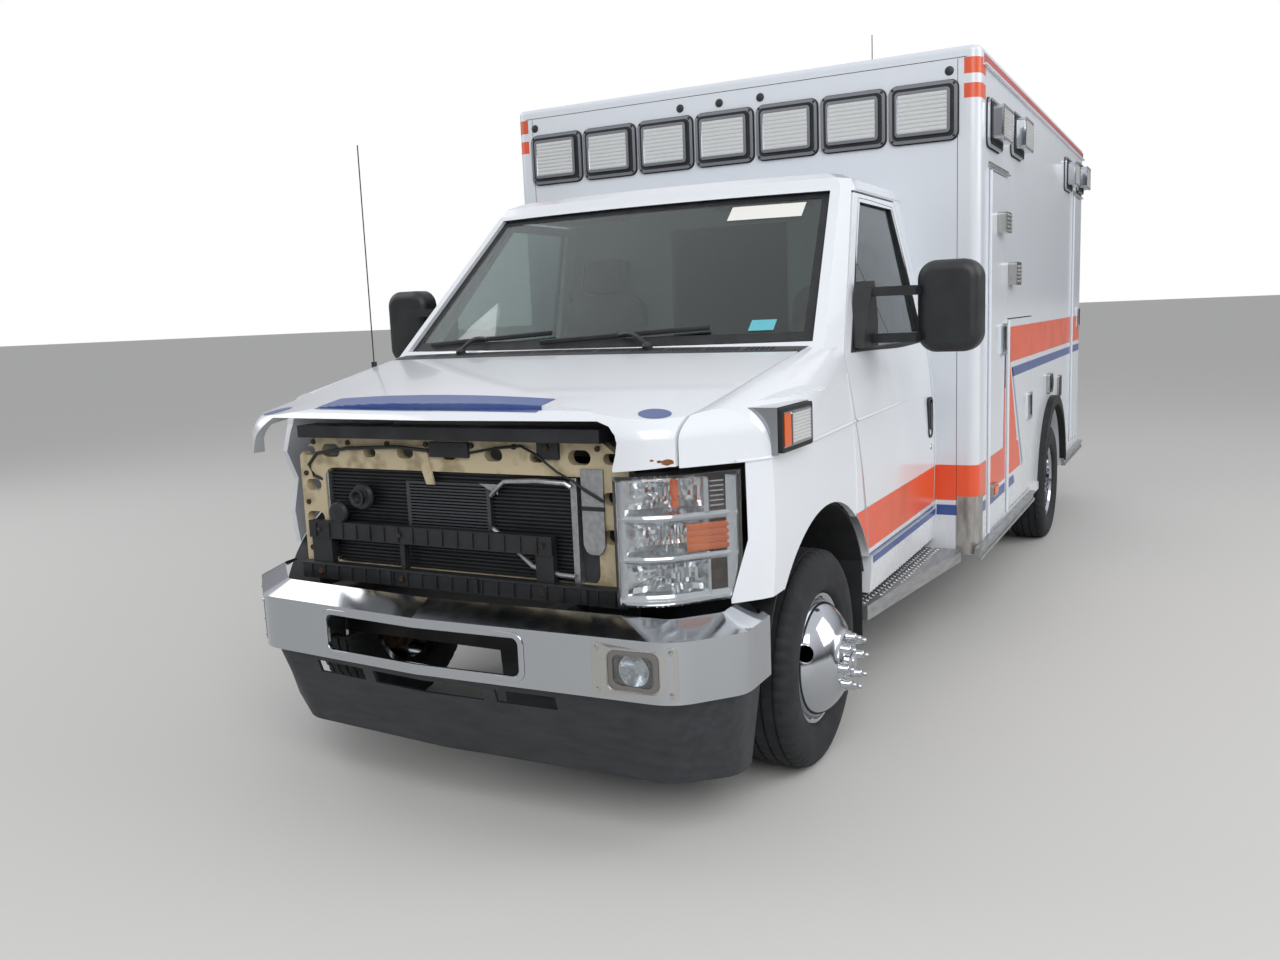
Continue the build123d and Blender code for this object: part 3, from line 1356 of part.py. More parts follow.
def tyre(x, station):
    """Tyre with a bowed tread and bulged sidewalls."""
    bead_half = 83.0
    lip_half = 97.0
    lip_radius = flange_radius + 4
    bulge = tyre_width / 2
    bulge_radius = (lip_radius + tyre_radius) / 2 - 8
    shoulder_half = bulge - 16
    shoulder_radius = tyre_radius - 19
    tread_half = bulge - 28
    tread_radius = tyre_radius - 4
    with BuildPart(mode=Mode.PRIVATE) as solid:
        with BuildSketch(Plane(origin=(x, at(station), tyre_radius), x_dir=(1, 0, 0), z_dir=(0, -1, 0))):
            with BuildLine():
                Polyline((-lip_half, lip_radius), (-bead_half, flange_radius + 1), (-bead_half, bead_radius),
                         (bead_half, bead_radius), (bead_half, flange_radius + 1), (lip_half, lip_radius))
                ThreePointArc((lip_half, lip_radius), (bulge, bulge_radius), (shoulder_half, shoulder_radius))
                Line((shoulder_half, shoulder_radius), (tread_half, tread_radius))
                ThreePointArc((tread_half, tread_radius), (0, tyre_radius), (-tread_half, tread_radius))
                Line((-tread_half, tread_radius), (-shoulder_half, shoulder_radius))
                ThreePointArc((-shoulder_half, shoulder_radius), (-bulge, bulge_radius),
                              (-lip_half, lip_radius))
            make_face()
        revolve(axis=Axis((x, at(station), tyre_radius), (1, 0, 0)))
    return solid.part


rim_half = 92.0
barrel_inner = bead_radius - rim_wall
nut_ring = 84.0
nut_radius = 13.0
nut_tip = 240.0
hub_radius = 104.0
bore = spindle_radius + fit_clearance
# Each point: distance outward from the wheel's middle, radius. The cover bulges like a bell out to the nuts.
front_rim_profile = (
    (-rim_half, flange_radius), (-rim_half + 7, flange_radius), (-rim_half + 9, bead_radius),
    (rim_half - 9, bead_radius), (rim_half - 7, flange_radius), (rim_half, flange_radius),
    (rim_half - 2, 208.0), (78.0, 198.0), (84.0, 197.0), (100.0, 192.5), (116.0, 184.0), (133.0, 170.5),
    (149.5, 152.0), (163.0, 133.0), (172.5, 117.0), (178.0, 109.0), (hub_end - 6, hub_radius),
    (hub_end - 1, hub_radius - 3), (hub_end, hub_radius - 12), (hub_end, 52.0), (hub_end + 18, 44.0),
    (hub_end + 24, 24.0), (hub_end + 24, 0.0), (hub_end - 30, 0.0), (hub_end - 30, bore), (20.0, bore),
    (20.0, 62.0), (148.0, 66.0), (166.0, 96.0), (155.0, 126.0), (141.0, 146.0), (126.0, 161.0),
    (109.0, 173.5), (93.0, 181.5), (76.0, 186.0), (62.0, 190.0), (56.0, barrel_inner),
    (-rim_half + 12, barrel_inner),
)
# Two round holes in the cover's shoulder, turned up a little from dead ahead and dead astern
cover_hole_place = (104.0, 189.0)
cover_hole_turns = (21.0, 201.0)
cover_hole_tilt = 55.0
cover_hole_radius = 28.0


def cover_holes(x, station):
    with BuildPart(mode=Mode.PRIVATE) as holes:
        for turn in cover_hole_turns:
            outward = Vector(0, -cos(radians(turn)), sin(radians(turn)))
            middle = Vector(x, at(station), tyre_radius) + Vector(cover_hole_place[0], 0, 0)
            axis = Vector(cos(radians(cover_hole_tilt)), 0, 0) + outward * sin(radians(cover_hole_tilt))
            middle = middle + outward * cover_hole_place[1]
            with BuildSketch(Plane(origin=middle - axis * 24, z_dir=axis)):
                Circle(cover_hole_radius)
            extrude(amount=64)
    return holes.part


def lug_nuts(x, station, ring, x_from, x_to, count):
    with BuildPart(mode=Mode.PRIVATE) as nuts:
        with BuildSketch(along(x + x_from)):
            with Locations((at(station), tyre_radius)):
                with PolarLocations(ring, count):
                    RegularPolygon(nut_radius, 6)
        extrude(amount=x_to - x_from)
    return nuts.part


with BuildPart() as tyre_front_left:
    add(tyre(front_wheel_x, 0))
write(tyre_front_left, "tyre_front_left")
with BuildPart() as tyre_front_right:
    add(other_side(tyre_front_left.part))
write(tyre_front_right, "tyre_front_right")

with BuildPart() as rim_front_left:
    add(turned(front_wheel_x, 0, front_rim_profile))
    add(cover_holes(front_wheel_x, 0), mode=Mode.SUBTRACT)
    add(lug_nuts(front_wheel_x, 0, nut_ring, hub_end - 20, nut_tip, lug_count))
write(rim_front_left, "rim_front_left")
with BuildPart() as rim_front_right:
    add(other_side(rim_front_left.part))
write(rim_front_right, "rim_front_right")

# Rear wheels: two tyres a side on bolted rims, the outer one deeply dished
dual_middle = rear_outer_x - dual_spacing / 2
half_spacing = dual_spacing / 2
axle_end_radius = 45.0
rear_bore = axle_end_radius + fit_clearance
rear_hub_end = 186.0
rear_rim_profile = (
    (-half_spacing - 92, flange_radius), (-half_spacing - 84.5, flange_radius),
                    (-half_spacing - 83.5, bead_radius),
    (83.5 - half_spacing, bead_radius), (-8.0, 152.0), (8.0, 152.0), (half_spacing - 83.5, bead_radius),
    (half_spacing + 83.5, bead_radius), (half_spacing + 84.5, flange_radius),
                    (half_spacing + 92, flange_radius),
    (half_spacing + 90, 206.0), (half_spacing + 76, barrel_inner + 1), (64.0, 186.0), (22.0, 144.0),
                    (16.0, 112.0),
    (24.0, hub_radius), (rear_hub_end - 8, hub_radius - 4), (rear_hub_end, hub_radius - 12),
                    (rear_hub_end, 0.0),
    (rear_hub_end - 20, 0.0), (rear_hub_end - 20, rear_bore), (-70.0, rear_bore), (-70.0, 92.0),
                    (-18.0, 92.0),
    (-18.0, 140.0), (-58.0, barrel_inner), (-half_spacing - 76, barrel_inner), (-half_spacing - 90, 206.0),
)
with BuildPart() as tyre_rear_left:
    add(tyre(rear_outer_x, wheelbase))
    add(tyre(rear_outer_x - dual_spacing, wheelbase))
write(tyre_rear_left, "tyre_rear_left")
with BuildPart() as tyre_rear_right:
    add(other_side(tyre_rear_left.part))
write(tyre_rear_right, "tyre_rear_right")
with BuildPart() as rim_rear_left:
    add(turned(dual_middle, wheelbase, rear_rim_profile))
    with BuildSketch(along(dual_middle - 30)):
        with Locations((at(wheelbase), tyre_radius)):
            with PolarLocations(122, hand_hole_count):
                Circle(14)
    extrude(amount=80, mode=Mode.SUBTRACT)
    add(lug_nuts(dual_middle, wheelbase, nut_ring - 14, rear_hub_end - 20, rear_hub_end + 26, lug_count))
write(rim_rear_left, "rim_rear_left")
with BuildPart() as rim_rear_right:
    add(other_side(rim_rear_left.part))
write(rim_rear_right, "rim_rear_right")

# Rear axle: housing, differential, leaf springs and their hangers
spring_from = 3380.0
spring_to = 4660.0
leaf_thickness = 40.0
leaf_width = 64.0
housing_radius = 58.0
with BuildPart() as rear_axle:
    half_profile = ((dual_middle + rear_hub_end - 24, 0.0),
                    (dual_middle + rear_hub_end - 24, axle_end_radius),
                    (dual_middle - 110, axle_end_radius), (dual_middle - 110, housing_radius),
                    (150.0, housing_radius),
                    (92.0, 132.0))
    add(turned(0, wheelbase, half_profile + tuple((-x, r) for x, r in reversed(half_profile))))
    for side in (-1, 1):
        with BuildSketch(along(side * rail_x - leaf_width / 2)):
            with BuildLine():
                middle = (at(wheelbase), tyre_radius + housing_radius + 4)
                ThreePointArc((at(spring_from), rail_bottom - leaf_thickness), middle,
                              (at(spring_to), rail_bottom - leaf_thickness))
                Line((at(spring_to), rail_bottom - leaf_thickness), (at(spring_to), rail_bottom))
                ThreePointArc((at(spring_to), rail_bottom), (middle[0], middle[1] + leaf_thickness + 12),
                              (at(spring_from), rail_bottom))
                Line((at(spring_from), rail_bottom), (at(spring_from), rail_bottom - leaf_thickness))
            make_face()
        extrude(amount=leaf_width)
        add(block(side * rail_x - leaf_width / 2, side * rail_x + leaf_width / 2, wheelbase - 70,
                  wheelbase + 70,
                  tyre_radius, tyre_radius + housing_radius + 20))
with BuildPart() as axles:
    add(axle_beams.part)
    add(rear_axle.part)
write(axles, "axles")
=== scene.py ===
from math import cos, exp, pi, radians, sin, sqrt

import bmesh
import bpy
from bpy.props import FloatProperty, IntProperty, PointerProperty, StringProperty
from mathutils import Matrix, Vector
from mathutils.bvhtree import BVHTree


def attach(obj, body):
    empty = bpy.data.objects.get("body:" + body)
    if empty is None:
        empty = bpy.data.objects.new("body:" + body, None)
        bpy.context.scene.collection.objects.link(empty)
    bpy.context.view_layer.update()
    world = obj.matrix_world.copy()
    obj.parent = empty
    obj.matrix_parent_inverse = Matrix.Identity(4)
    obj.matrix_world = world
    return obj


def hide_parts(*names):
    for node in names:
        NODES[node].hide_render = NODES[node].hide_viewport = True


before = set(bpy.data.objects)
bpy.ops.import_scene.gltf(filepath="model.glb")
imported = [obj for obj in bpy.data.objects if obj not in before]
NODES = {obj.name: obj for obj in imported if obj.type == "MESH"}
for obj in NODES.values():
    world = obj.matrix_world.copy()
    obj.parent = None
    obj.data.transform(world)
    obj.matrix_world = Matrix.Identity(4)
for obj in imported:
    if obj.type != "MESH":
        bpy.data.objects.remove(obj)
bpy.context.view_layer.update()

bl_info = {
    "name": "Box body ambulance",
    "version": (1, 0, 0),
    "blender": (4, 5, 0),
    "location": "View3D > Sidebar > Ambulance",
    "description": "Finishes and small parts of an ambulance, built on its packed solids",
    "category": "Object",
}

# Sizes in millimetres that the solids share. A station is a distance back from the front axle.
FRONT_AXLE = 2426.5
WALL = 1197.0  # half width over the body's side walls
BODY_FRONT = 1584.0
BODY_REAR = 5593.0
CORNER = 46.0  # radius of the body's upright corners
SKIRT = 400.0  # bottom of the body's walls
FILM_TOP = 2590.0  # where film on the walls ends under the roof
ARCH_TOP = 875.0  # top of the rear arches
WHEELBASE = 4013.0
HUB = 372.0  # height of the hubs
FRONT_WHEEL = 881.5  # middle of a front tyre, from the middle of the vehicle
OUTER_WHEEL, INNER_WHEEL = 1093.0, 841.0  # the same of the two rear tyres on one side
REAR_DISC = 967.0  # between them, where the rear wheels' discs meet
ARCH_RADIUS = 536.0
BELT = 1385.0  # height of the belt line
MIRROR_BACK = 738.0
BACK, DOWN = Vector((0, 1, 0)), Vector((0, 0, -1))
ROUND = 2 * pi
# name: front station, rear station, bottom, top, side of the vehicle, body
DOORS = {
    "locker_door_front": (1800, 2262, 452, 2145, 1),
    "locker_door_lower": (2316, 3148, 465, 1460, 1),
    "locker_door_rear": (5010, 5506, 500, 2272, 1),
    "side_entry_door": (2330, 3110, 470, 2236, -1),
}
SIDES = ((1, "left"), (-1, "right"))  # X + is the driver's side, the vehicle's left


def mm(x, station, z):
    """A point in the frame, in metres, from millimetres across, back from the front axle and up."""
    return Vector((x, station - FRONT_AXLE, z)) / 1000


def in_mm(point):
    """Back from a point in the frame to across, station and height in millimetres."""
    return point.x * 1000, point.y * 1000 + FRONT_AXLE, point.z * 1000


def front_wall(u, v, depth):
    return mm(u, BODY_FRONT - depth, v)


def rear_wall(u, v, depth):
    return mm(u, BODY_REAR + depth, v)


def side_wall(side):
    return lambda u, v, depth: mm(side * (WALL + depth), u, v)


def arc(start, end, steps):
    """Turns in radians, evenly spaced from one in degrees to another."""
    return [radians(start + (end - start) * step / steps) for step in range(steps + 1)]


# Building of meshes


def rounded(width, height, radius, steps=5):
    """Outline of a rounded rectangle about its middle."""
    points = []
    for cx, cy, start in ((1, 1, 0), (-1, 1, 90), (-1, -1, 180), (1, -1, 270)):
        for turn in arc(start, start + 90, steps):
            points.append((cx * (width / 2 - radius) + radius * cos(turn),
                           cy * (height / 2 - radius) + radius * sin(turn)))
    return points


def oblong(u0, u1, v0, v1):
    return [(u0, v0), (u1, v0), (u1, v1), (u0, v1)]


def add_loop(bm, place, outline, depth, centre):
    return [bm.verts.new(place(u + centre[0], v + centre[1], depth)) for u, v in outline]


def bridge(bm, a, b):
    """Faces between two loops of as many points."""
    for i in range(len(a)):
        j = (i + 1) % len(a)
        bm.faces.new((a[i], a[j], b[j], b[i]))


def add_prism(bm, place, outline, depth_from, depth_to, centre=(0, 0)):
    """An outline of (u, v) points, run from one depth to another."""
    near, far = (add_loop(bm, place, outline, depth, centre) for depth in (depth_from, depth_to))
    bridge(bm, near, far)
    bm.faces.new(near)
    bm.faces.new(far)


def add_ring(bm, place, outer, inner, depth_from, depth_to, centre=(0, 0)):
    """A flat frame between two outlines with the same number of points."""
    loops = [add_loop(bm, place, outline, depth, centre) for outline, depth in
             ((outer, depth_from), (outer, depth_to), (inner, depth_to), (inner, depth_from))]
    for k in range(4):
        bridge(bm, loops[k], loops[(k + 1) % 4])


def add_box(bm, x0, x1, s0, s1, z0, z1):
    corners = [bm.verts.new(mm(x, s, z)) for x in (x0, x1) for s in (s0, s1) for z in (z0, z1)]
    for a, b, c, d in ((0, 1, 3, 2), (4, 6, 7, 5), (0, 4, 5, 1), (2, 3, 7, 6), (0, 2, 6, 4), (1, 5, 7, 3)):
        bm.faces.new((corners[a], corners[b], corners[c], corners[d]))


def add_tube(bm, points, radius, sides=10, squash=1.0):
    """A round bar along (x, station, z) points."""
    path = [mm(*p) for p in points]
    rings = []
    for i, point in enumerate(path):
        ahead = (path[min(i + 1, len(path) - 1)] - path[max(i - 1, 0)]).normalized()
        side = ahead.cross(Vector((0, 0, 1)))
        if side.length < 0.1:
            side = ahead.cross(Vector((0, 1, 0)))
        side.normalize()
        up = side.cross(ahead)
        rings.append([bm.verts.new(point + (side * cos(turn) + up * sin(turn) * squash) * radius / 1000)
                      for turn in arc(0, 360, sides)[:-1]])
    for a, b in zip(rings, rings[1:]):
        bridge(bm, a, b)
    bm.faces.new(rings[0])
    bm.faces.new(rings[-1])


def add_lathe(bm, centre, axis, profile, sides=48, closed=True):
    """A turned piece about an axis through a point in the frame, from (along, radius) points in millimetres."""
    axis = Vector(axis).normalized()
    side = axis.orthogonal().normalized()
    up = axis.cross(side)
    rings = []
    for along, radius in profile:
        middle = centre + axis * along / 1000
        turns = arc(0, 360, sides)[:-1] if radius else [0.0]
        rings.append([bm.verts.new(middle + (side * cos(turn) + up * sin(turn)) * radius / 1000)
                      for turn in turns])
    pairs = list(zip(rings, rings[1:]))
    if closed:
        pairs.append((rings[-1], rings[0]))
    for a, b in pairs:
        if len(a) == len(b) == sides:
            bridge(bm, a, b)
        elif len(a) == sides:
            for k in range(sides):
                bm.faces.new((a[k], a[(k + 1) % sides], b[0]))
        elif len(b) == sides:
            for k in range(sides):
                bm.faces.new((a[0], b[(k + 1) % sides], b[k]))


def add_cap(bm, centre, axis, profile, sides=20):
    """A turned cap: (along, radius) points from its rim to its top, closed at both ends."""
    add_lathe(bm, centre, axis, [(profile[0][0], 0.0), *profile, (profile[-1][0], 0.0)], sides, False)


def add_hex(bm, centre, radius, height):
    """A bolt head that faces forward."""
    add_cap(bm, centre, -BACK, [(0, radius), (height, radius), (height, radius * 0.55)], 6)


def make_piece(bm, name, material, body="body", bevel=0.0, smooth=35.0):
    """Turns the mesh into a piece of its own that rides on a body."""
    bmesh.ops.remove_doubles(bm, verts=bm.verts, dist=0.00002)
    bmesh.ops.recalc_face_normals(bm, faces=bm.faces)
    mesh = bpy.data.meshes.new(name)
    bm.to_mesh(mesh)
    bm.free()
    piece = bpy.data.objects.new(name, mesh)
    bpy.context.scene.collection.objects.link(piece)
    mesh.materials.append(material)
    mesh.shade_smooth()
    mesh.set_sharp_from_angle(angle=radians(smooth))
    if bevel:
        modifier = piece.modifiers.new("Rounded edges", "BEVEL")
        modifier.width = bevel / 1000
        modifier.segments = 2
        modifier.limit_method = "ANGLE"
        modifier.angle_limit = radians(40)
    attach(piece, body)
    return piece


def thicken(piece, wall):
    """Gives an open sheet a wall, in millimetres."""
    modifier = piece.modifiers.new("Sheet", "SOLIDIFY")
    modifier.thickness = wall / 1000
    modifier.offset = 0.0


surfaces = {}  # by node, so that each is built once


def surface_of(node):
    """The solid's surface, to lay film, trim and seals on it."""
    if node not in surfaces:
        mesh = NODES[node].data
        surfaces[node] = BVHTree.FromPolygons([v.co for v in mesh.vertices],
                                              [p.vertices for p in mesh.polygons])
    return surfaces[node]


def cast(node, start, way, lift=0.0, along=None, reach=9.0):
    """Where a ray meets a node's skin, lifted off it along its normal or else along a direction of its own."""
    hit, normal, _, distance = surface_of(node).ray_cast(start, way)
    if hit is None or distance > reach:
        return None
    return hit + (normal if along is None else along) * lift / 1000


def on_side(node, side, station, z, lift):
    """The point of a node's outer side skin at that station and height, lifted off it."""
    outward = Vector((side, 0, 0))
    return cast(node, mm(side * 1400, station, z), -outward, lift, outward, 0.7)


def on_top(node, x, station, lift):
    return cast(node, mm(x, station, 2400), DOWN, lift)


def on_front(node, x, z, lift):
    return cast(node, mm(x, -1400, z), BACK, lift)


def on_slope(node, x, along, lift):
    """The point of a node's skin seen from ahead and above, at a place along a line that slopes up and back."""
    up_and_back = Vector((0, 1, 1)).normalized()
    down_and_back = Vector((0, 1, -1)).normalized()
    return cast(node, mm(x, -700, 1300) + up_and_back * along / 1000 - down_and_back * 0.5, down_and_back, lift)


def arch(z):
    """Half length of the front wheel's opening at a height."""
    return sqrt(max(ARCH_RADIUS ** 2 - (z - HUB) ** 2, 1.0))


def seam(z):
    """Station of the cab door's front edge at a height."""
    if z < 1150:
        return 478.0 - 128.0 * (z - 612.0) / 538.0
    return 350.0 - 50.0 * (z - 1150.0) / (BELT - 1150.0)


def fender_rear(side, hand, z, share, lift):
    """A point of the fender's rear skin, a share of the way from its front part or the arch to the door."""
    start, end = max(309.5, arch(z)), seam(z) - 2.5
    if end - start < 2.0:
        return None
    station = start + share * (end - start)
    back = on_side("cab_door_" + hand, side, seam(z) + 14, z, 0)
    front = on_side("fender_" + hand, side, 300, z, 0) if z > 822 else back
    if back is None or front is None:
        return None
    x = front.x + (back.x - front.x) * (station - 300) / (seam(z) + 14 - 300) + side * lift / 1000
    return Vector((x, (station - FRONT_AXLE) / 1000, z / 1000))


def add_draped(bm, point_at, rows, columns):
    """A sheet of small faces whose corners point_at(row, column) gives, left open where it has no point."""
    grid = [[point_at(r / rows, c / columns) for c in range(columns + 1)] for r in range(rows + 1)]
    verts = [[bm.verts.new(p) if p is not None else None for p in row] for row in grid]
    for r in range(rows):
        for c in range(columns):
            corners = (verts[r][c], verts[r][c + 1], verts[r + 1][c + 1], verts[r + 1][c])
            if all(corners):
                bm.faces.new(corners)
    for row in verts:
        for vert in row:
            if vert is not None and not vert.link_faces:
                bm.verts.remove(vert)


# Materials


def colour(hexed):
    """An sRGB hex value as linear colour."""
    channels = [int(hexed[i:i + 2], 16) / 255 for i in (0, 2, 4)]
    return [c / 12.92 if c <= 0.04045 else ((c + 0.055) / 1.055) ** 2.4 for c in channels] + [1.0]


def add_node(tree, kind, links=(), inputs=(), **settings):
    """Adds a node with its settings, input values and links of (input, node, output)."""
    node = tree.nodes.new(kind)
    for key, value in settings.items():
        setattr(node, key, value)
    for key, value in dict(inputs).items():
        node.inputs[key].default_value = value
    for key, source, output in links:
        tree.links.new(source.outputs[output], node.inputs[key])
    return node


def new_material(name, hexed, roughness, metallic=0.0, **sockets):
    material = bpy.data.materials.new(name)
    material.use_nodes = True
    tree = material.node_tree
    shader = tree.nodes["Principled BSDF"]
    shader.inputs["Base Color"].default_value = colour(hexed)
    shader.inputs["Roughness"].default_value = roughness
    shader.inputs["Metallic"].default_value = metallic
    for key, value in sockets.items():
        shader.inputs[key.replace("_", " ")].default_value = value
    material.diffuse_color = colour(hexed)
    return material, tree, shader


def two_tones(tree, shader, factor, low, high, start=0.3, end=0.7):
    """Colours the surface between two tones by a pattern."""
    ramp = add_node(tree, "ShaderNodeValToRGB", [("Fac", factor, 0)])
    ramp.color_ramp.elements[0].position = start
    ramp.color_ramp.elements[1].position = end
    ramp.color_ramp.elements[0].color = colour(low)
    ramp.color_ramp.elements[1].color = colour(high)
    tree.links.new(ramp.outputs["Color"], shader.inputs["Base Color"])


def rough_between(tree, shader, factor, low, high):
    span = add_node(tree, "ShaderNodeMapRange", [("Value", factor, 0)], {"To Min": low, "To Max": high})
    tree.links.new(span.outputs["Result"], shader.inputs["Roughness"])


def bumped(tree, shader, factor, strength, distance):
    bump = add_node(tree, "ShaderNodeBump", [("Height", factor, 0)],
                    {"Strength": strength, "Distance": distance / 1000})
    tree.links.new(bump.outputs["Normal"], shader.inputs["Normal"])


def noise_of(tree, size, detail=3.0, stretch=(1, 1, 1)):
    """Noise whose blotches are about size millimetres across, in the piece's own coordinates."""
    place = add_node(tree, "ShaderNodeTexCoord")
    scale = add_node(tree, "ShaderNodeMapping", [("Vector", place, "Object")], {"Scale": stretch})
    return add_node(tree, "ShaderNodeTexNoise", [("Vector", scale, 0)],
                    {"Scale": 1000 / size, "Detail": detail})


def dusty(tree, shader, clean, dust, top, patch=160.0):
    """Road film: the clean tone above, and below a height in millimetres more and more of the dust tone."""
    height = add_node(tree, "ShaderNodeSeparateXYZ",
                      [("Vector", add_node(tree, "ShaderNodeTexCoord"), "Object")])
    low = add_node(tree, "ShaderNodeMapRange", [("Value", height, "Z")],
                   {"From Min": 0.35, "From Max": top / 1000, "To Min": 0.4, "To Max": 0.0})
    blotch = noise_of(tree, patch, 5.0)
    streak = noise_of(tree, 60.0, 2.0, (1, 1, 0.2))
    mixed = add_node(tree, "ShaderNodeMath", [(0, blotch, 0), (1, streak, 0)], operation="MULTIPLY")
    lifted = add_node(tree, "ShaderNodeMapRange", [("Value", mixed, 0)],
                      {"From Min": 0.12, "From Max": 0.42, "To Min": 0.05, "To Max": 1.0})
    share = add_node(tree, "ShaderNodeMath", [(0, low, 0), (1, lifted, 0)], operation="MULTIPLY")
    mix = add_node(tree, "ShaderNodeMix", [(0, share, 0)], data_type="RGBA")
    mix.inputs[6].default_value = colour(clean)
    mix.inputs[7].default_value = colour(dust)
    tree.links.new(mix.outputs[2], shader.inputs["Base Color"])
    rough_between(tree, shader, share, 0.22, 0.6)


class MATERIALS:
    """Filled once by make_materials, one material under each short key."""


def finish(key, name, hexed, roughness, metallic=0.0, slot="", pattern=None, tones=None, rough=None, bump=None,
           grain=None, **sockets):
    """Makes a material and keeps it under its key; the slot is not used.

    A pattern of (size in mm, detail, stretch) runs between two tones and two roughnesses and gives a bump of
    (strength, depth in mm). A grain of (size in mm, detail, strength, depth in mm) is a finer bump alone.
    """
    material, tree, shader = new_material(name, hexed, roughness, metallic, **sockets)
    if pattern:
        blotches = noise_of(tree, *pattern)
        for add, values in ((two_tones, tones), (rough_between, rough), (bumped, bump)):
            if values:
                add(tree, shader, blotches, *values)
    if grain:
        size, detail, strength, depth = grain
        bumped(tree, shader, noise_of(tree, size, detail), strength, depth)
    setattr(MATERIALS, key, material)
    return tree, shader


def make_materials(colours):
    # Sprayed two-pack enamel with clear coat: bright and wet, with a veil of road dust towards the skirts.
    tree, shader = finish("enamel", "sprayed_white_enamel", colours.paint, 0.25, slot="white_paint",
                          pattern=(240, 1.0), bump=(0.05, 2.0), Coat_Weight=0.5, Coat_Roughness=0.06)
    dusty(tree, shader, colours.paint, "B9B4A8", 900)
    # The same enamel on flat aluminium panels: a little duller, and faintly wavy.
    tree, shader = finish("panel", "sprayed_panel_enamel", colours.paint, 0.32, slot="white_paint",
                          pattern=(420, 1.0), bump=(0.08, 3.0), Coat_Weight=0.25, Coat_Roughness=0.12)
    dusty(tree, shader, colours.panel, "B4AD9F", 1000, 220)

    # Cast vinyl film, knifed and rolled on: even colour, soft gloss, slightly faded in patches.
    for name, hexed, faded in (("orange", colours.orange, "C9552F"), ("blue", colours.blue, "47598C"),
                               ("red", colours.drip, "A94038"), ("grey_blue", "7F8DAA", "8D99B0")):
        finish("film_" + name, "cast_vinyl_" + name, hexed, 0.34, slot="white_paint", pattern=(300, 4.0),
               tones=(faded, hexed, 0.3, 0.5), rough=(0.42, 0.28), Coat_Weight=0.2, Coat_Roughness=0.2)

    # Bright nickel-chrome plate, buffed: mirror with a faint haze of water spots.
    finish("chrome", "buffed_chrome_plate", "B6B9BE", 0.08, 1.0, "bright_chrome", (45, 6.0), rough=(0.03, 0.17))
    # Stainless sheet, rolled and polished: greyer than chrome, with a fine grain along it.
    finish("stainless", "polished_stainless_sheet", "B9B8B5", 0.22, 1.0, "bright_chrome",
           (6, 2.0, (1, 1, 0.05)), rough=(0.16, 0.34), bump=(0.06, 0.2))
    # Weathered stainless on the stone guards: grey road film over the sheet.
    finish("guard", "road_worn_stainless", "A2A09B", 0.42, 0.75, "tread_plate", (40, 6.0, (1, 1, 0.3)),
           ("85827C", "B2B0AB", 0.3, 0.6), (0.55, 0.3))
    # Mill-finish aluminium sheet, pressed: soft grey sheen, scuffed by shoes.
    finish("aluminium", "pressed_mill_aluminium", "A9ABAD", 0.4, 0.9, "cooler_metal", (18, 6.0, (1, 0.15, 1)),
           ("9A9B9C", "B4B6B8", 0.3, 0.7), (0.5, 0.28), (0.15, 0.3))
    # Brazed aluminium fins, stamped: dark grey and full of fine lines. The dark grey is painted shade of the
    # cavity behind the missing grille, and the dark lines are painted shade in the gaps between the fins; the
    # lines also give a bump.
    tree, shader = finish("fins", "brazed_aluminium_fins_painted_shade", "4A4C50", 0.5, 0.5)
    place = add_node(tree, "ShaderNodeTexCoord")
    scale = add_node(tree, "ShaderNodeMapping", [("Vector", place, "Object")], {"Scale": (1, 0.02, 0.02)})
    fin_lines_with_painted_gap_shade = add_node(tree, "ShaderNodeTexWave", [("Vector", scale, 0)], {"Scale": 80.0, "Distortion": 0.4})
    # Painted shade: the dark tones stand for the cavity's shade and the shade between the fins
    two_tones(tree, shader, fin_lines_with_painted_gap_shade, "2B2D30", "5A5D62", 0.2, 0.8)
    bumped(tree, shader, fin_lines_with_painted_gap_shade, 0.5, 1.0)
    # Dip-primed pressed steel: cream and flat, with stains in random blotches. The whole tone is darkened by
    # painted shade, as it lies in the shade of the hood.
    finish("primer", "dip_primed_steel_painted_shade", "B4A686", 0.55, pattern=(70, 8.0),
           tones=("94866A", "B9AC8E", 0.34, 0.5), bump=(0.12, 0.8))
    # Bare steel and iron castings with a coat of rust and old oil.
    finish("iron", "rusted_cast_iron", "3A332D", 0.75, 0.3, "cast_metal", (30, 8.0),
           ("241F1C", "5E4431", 0.38, 0.68), bump=(0.5, 1.2))
    # Rust blistered through enamel: orange brown, rough.
    finish("rust", "blistered_steel_rust", "7A4A2B", 0.85, slot="white_paint", pattern=(5, 5.0),
           tones=("54331F", "93603A", 0.35, 0.65), bump=(0.4, 0.4))
    # Waxed chassis black on rolled steel: almost black, patchy with dust.
    finish("chassis", "waxed_chassis_black", "1C1B1A", 0.6, pattern=(120, 6.0),
           tones=("141313", "39342E", 0.4, 0.75), rough=(0.45, 0.8))

    # Injection-moulded ABS with an etched grain: satin black that greys on top.
    finish("abs", "grained_black_abs", "1B1C1E", 0.48, slot="black_plastic", pattern=(90, 5.0),
           tones=("141517", "26282B", 0.3, 0.75), grain=(1.6, 2.0, 0.22, 0.15))
    # Moulded polypropylene of the air dam: charcoal and flat, scraped grey low down.
    finish("dam", "moulded_charcoal_polypropylene", "2B2E32", 0.62, pattern=(26, 8.0, (0.25, 1, 1)),
           tones=("26292D", "373A3E", 0.35, 0.85), bump=(0.12, 0.3))
    # Extruded EPDM rubber: deep flat black.
    finish("rubber", "extruded_black_rubber", "17181A", 0.68, slot="black_rubber", pattern=(60, 5.0),
           tones=("111213", "25272A", 0.35, 0.8))
    # Vulcanised tyre rubber: blue-black with dusty shoulders.
    finish("tyre", "vulcanised_tyre_rubber", "1D1E20", 0.78, slot="black_tyre", pattern=(70, 7.0),
           tones=("15171A", "26272A", 0.42, 0.8), grain=(2.2, 2.0, 0.25, 0.2))

